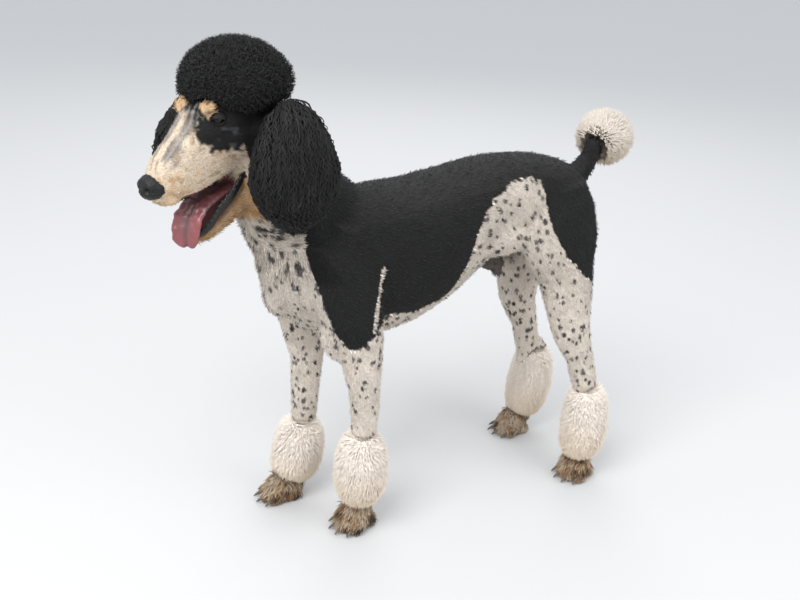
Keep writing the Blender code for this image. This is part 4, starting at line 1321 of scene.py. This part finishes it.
def eye_finish():
    """Wet and smooth, in the colours stored on the vertices."""
    made = bpy.data.materials.new("eye_wet")
    made.use_nodes = True
    tree = made.node_tree
    shader = tree.nodes["Principled BSDF"]
    shader.inputs["Roughness"].default_value = 0.09
    shader.inputs["Specular IOR Level"].default_value = 0.3
    stored = node(tree, "ShaderNodeAttribute", attribute_name="coat")
    tree.links.new(stored.outputs["Color"], shader.inputs["Base Color"])
    return made


EYE_WET = eye_finish()


def add_eye(side, centre, gaze, turned):
    """A ball with rings of colour round its gaze, and a slight bulge at the front."""
    bpy.ops.object.select_all(action="DESELECT")
    bpy.ops.mesh.primitive_uv_sphere_add(
        segments=48, ring_count=32, radius=EYE_RADIUS, location=centre, rotation=turned)
    ball = bpy.context.object
    bpy.ops.object.transform_apply(location=True, rotation=True, scale=True)
    ball.name = f"eye_{side}_wet"
    p = places(ball)
    apart = np.degrees(np.arccos(np.clip((p - np.array(centre)) @ np.array(gaze) / EYE_RADIUS, -1, 1)))
    colour = np.tile(np.array(EYE_RIM), (len(p), 1))
    colour = mix(colour, smooth_step(46, 38, apart), IRIS)
    colour = mix(colour, smooth_step(17, 14, apart), PUPIL)
    paint(ball, colour)
    bulge = 0.0012 * smooth_step(38, 8, apart)
    move_to(ball, p + np.array(gaze) * bulge[:, None])
    finish_piece(ball, [f"eye_{side}"], EYE_WET)


# %% [markdown]
# The lids of each eye are a shell round its ball with an almond cut out. The almond is measured
# from the gaze and the level line across it, so it stays level however the head is turned.

# %% Lids
LID_RADIUS, LID_WALL = EYE_RADIUS + 0.0016, 0.0012
SLIT_HEIGHT, SLIT_WIDTH = 0.33, 0.76  # as shares of the lid's radius


def add_lids(side, centre, gaze, turned):
    """A thin shell round the front of the ball, with an almond cut out before the gaze."""
    bpy.ops.object.select_all(action="DESELECT")
    bpy.ops.mesh.primitive_uv_sphere_add(
        segments=64, ring_count=48, radius=LID_RADIUS, location=centre, rotation=turned)
    lids = bpy.context.object
    bpy.ops.object.transform_apply(location=True, rotation=True, scale=True)
    lids.name = f"lids_{side}"
    spots = np.array([f.center for f in lids.data.polygons])
    spots = (spots - np.array(centre)) / LID_RADIUS
    level = np.cross(np.array((0, 0, 1.0)), np.array(gaze))
    level /= np.linalg.norm(level)
    over = np.cross(np.array(gaze), level)
    u, v, ahead = spots @ level, spots @ over, spots @ np.array(gaze)
    slit = SLIT_HEIGHT * np.clip(1 - (u / SLIT_WIDTH) ** 2, 0, 1) ** 0.8
    open_part = (ahead > 0) & (v < slit * 0.75) & (v > -slit)
    only(lids)
    bpy.ops.object.mode_set(mode="EDIT")
    bpy.ops.mesh.select_mode(type="FACE")
    bpy.ops.object.mode_set(mode="OBJECT")
    lids.data.polygons.foreach_set("select", open_part | (ahead < 0.05))
    bpy.ops.object.mode_set(mode="EDIT")
    bpy.ops.mesh.delete(type="FACE")
    bpy.ops.object.mode_set(mode="OBJECT")
    modify(lids, "SOLIDIFY", thickness=LID_WALL, offset=0.0)
    finish_piece(lids, finish=LID)


for side, sign in (("left", 1), ("right", -1)):
    centre = Vector(from_head([EYE * np.array((sign, 1, 1))])[0])
    gaze = HEAD_TURN @ Vector((GAZE.x * sign, GAZE.y, GAZE.z))
    turned = gaze.to_track_quat("Z", "Y").to_euler()
    add_eye(side, centre, gaze, turned)
    add_lids(side, centre, gaze, turned)

# %% [markdown]
# Each claw is a curved horn with a blunt tip. The frame's solid has that shape in flat facets, so
# one round of subdivision is enough to turn them into a smooth curve.

# %% Claws
for leg in LEGS:
    horns = [f"claw_{leg}_{i}" for i in range(1, 5)]
    claws = copy_of(f"claws_{leg}", *horns)
    modify(claws, "SUBSURF", levels=1, render_levels=1)
    finish_piece(claws, horns, HORN)

# %% [markdown]
# The model stands on a plain pale floor, under three large lamps and a pale sky. Large lamps cast
# soft shadows, so the light and dark of the coat itself stay easy to read.

# %% Floor and light
bpy.ops.object.select_all(action="DESELECT")
bpy.ops.mesh.primitive_plane_add(size=60)
floor = bpy.context.object
floor.name = "floor"
pale = bpy.data.materials.new("floor_pale")
pale.use_nodes = True
shader = pale.node_tree.nodes["Principled BSDF"]
shader.inputs["Base Color"].default_value = (0.56, 0.56, 0.555, 1)
shader.inputs["Roughness"].default_value = 0.9
floor.data.materials.append(pale)

world = bpy.data.worlds.new("studio")
bpy.context.scene.world = world
world.use_nodes = True
sky = world.node_tree.nodes["Background"]
sky.inputs["Color"].default_value = (0.92, 0.95, 1.0, 1)
sky.inputs["Strength"].default_value = 1.05

AIM = Vector((0.0, 0.0, 0.40))
LAMPS = (  # name, place, size, power
    ("key", (1.1, -1.9, 2.9), 2.0, 95),
    ("fill", (2.6, 1.6, 1.9), 2.6, 34),
    ("back", (-2.4, 1.4, 2.6), 2.4, 28),
)
for name, place, size, power in LAMPS:
    bpy.ops.object.light_add(type="AREA", location=place)
    lamp = bpy.context.object
    lamp.name = name
    lamp.data.shape, lamp.data.size, lamp.data.energy = "SQUARE", size, power
    lamp.rotation_euler = (AIM - Vector(place)).to_track_quat("-Z", "Y").to_euler()
print(len(LAMPS), "lamps aimed at", list(AIM))

# %% [markdown]
# The camera stands 1.1 m up, ahead of the dog and to its left, and leans a little, as a camera
# held in the hand does. Its lens and place were found from where the feet, back and chest stand
# in the reference.

# %% Camera
CAMERA_PLACE, CAMERA_AIM = Vector((1.4374, -0.8315, 1.1056)), Vector((-0.0417, 0.0225, 0.3806))
CAMERA_ROLL, CAMERA_LENS = 3.2, 45.06
back = (CAMERA_PLACE - CAMERA_AIM).normalized()
right = Vector((0, 0, 1)).cross(back).normalized()
up = back.cross(right)
c, s = cos(radians(CAMERA_ROLL)), sin(radians(CAMERA_ROLL))
axes = Matrix((right * c + up * s, up * c - right * s, back)).transposed()
bpy.ops.object.camera_add(location=CAMERA_PLACE, rotation=axes.to_euler())
camera = bpy.context.object
camera.data.lens, camera.data.sensor_width = CAMERA_LENS, 36
bpy.context.scene.camera = camera
bpy.context.scene.view_settings.view_transform = "Standard"
print("camera stands", round((CAMERA_PLACE - CAMERA_AIM).length, 2), "metres away")
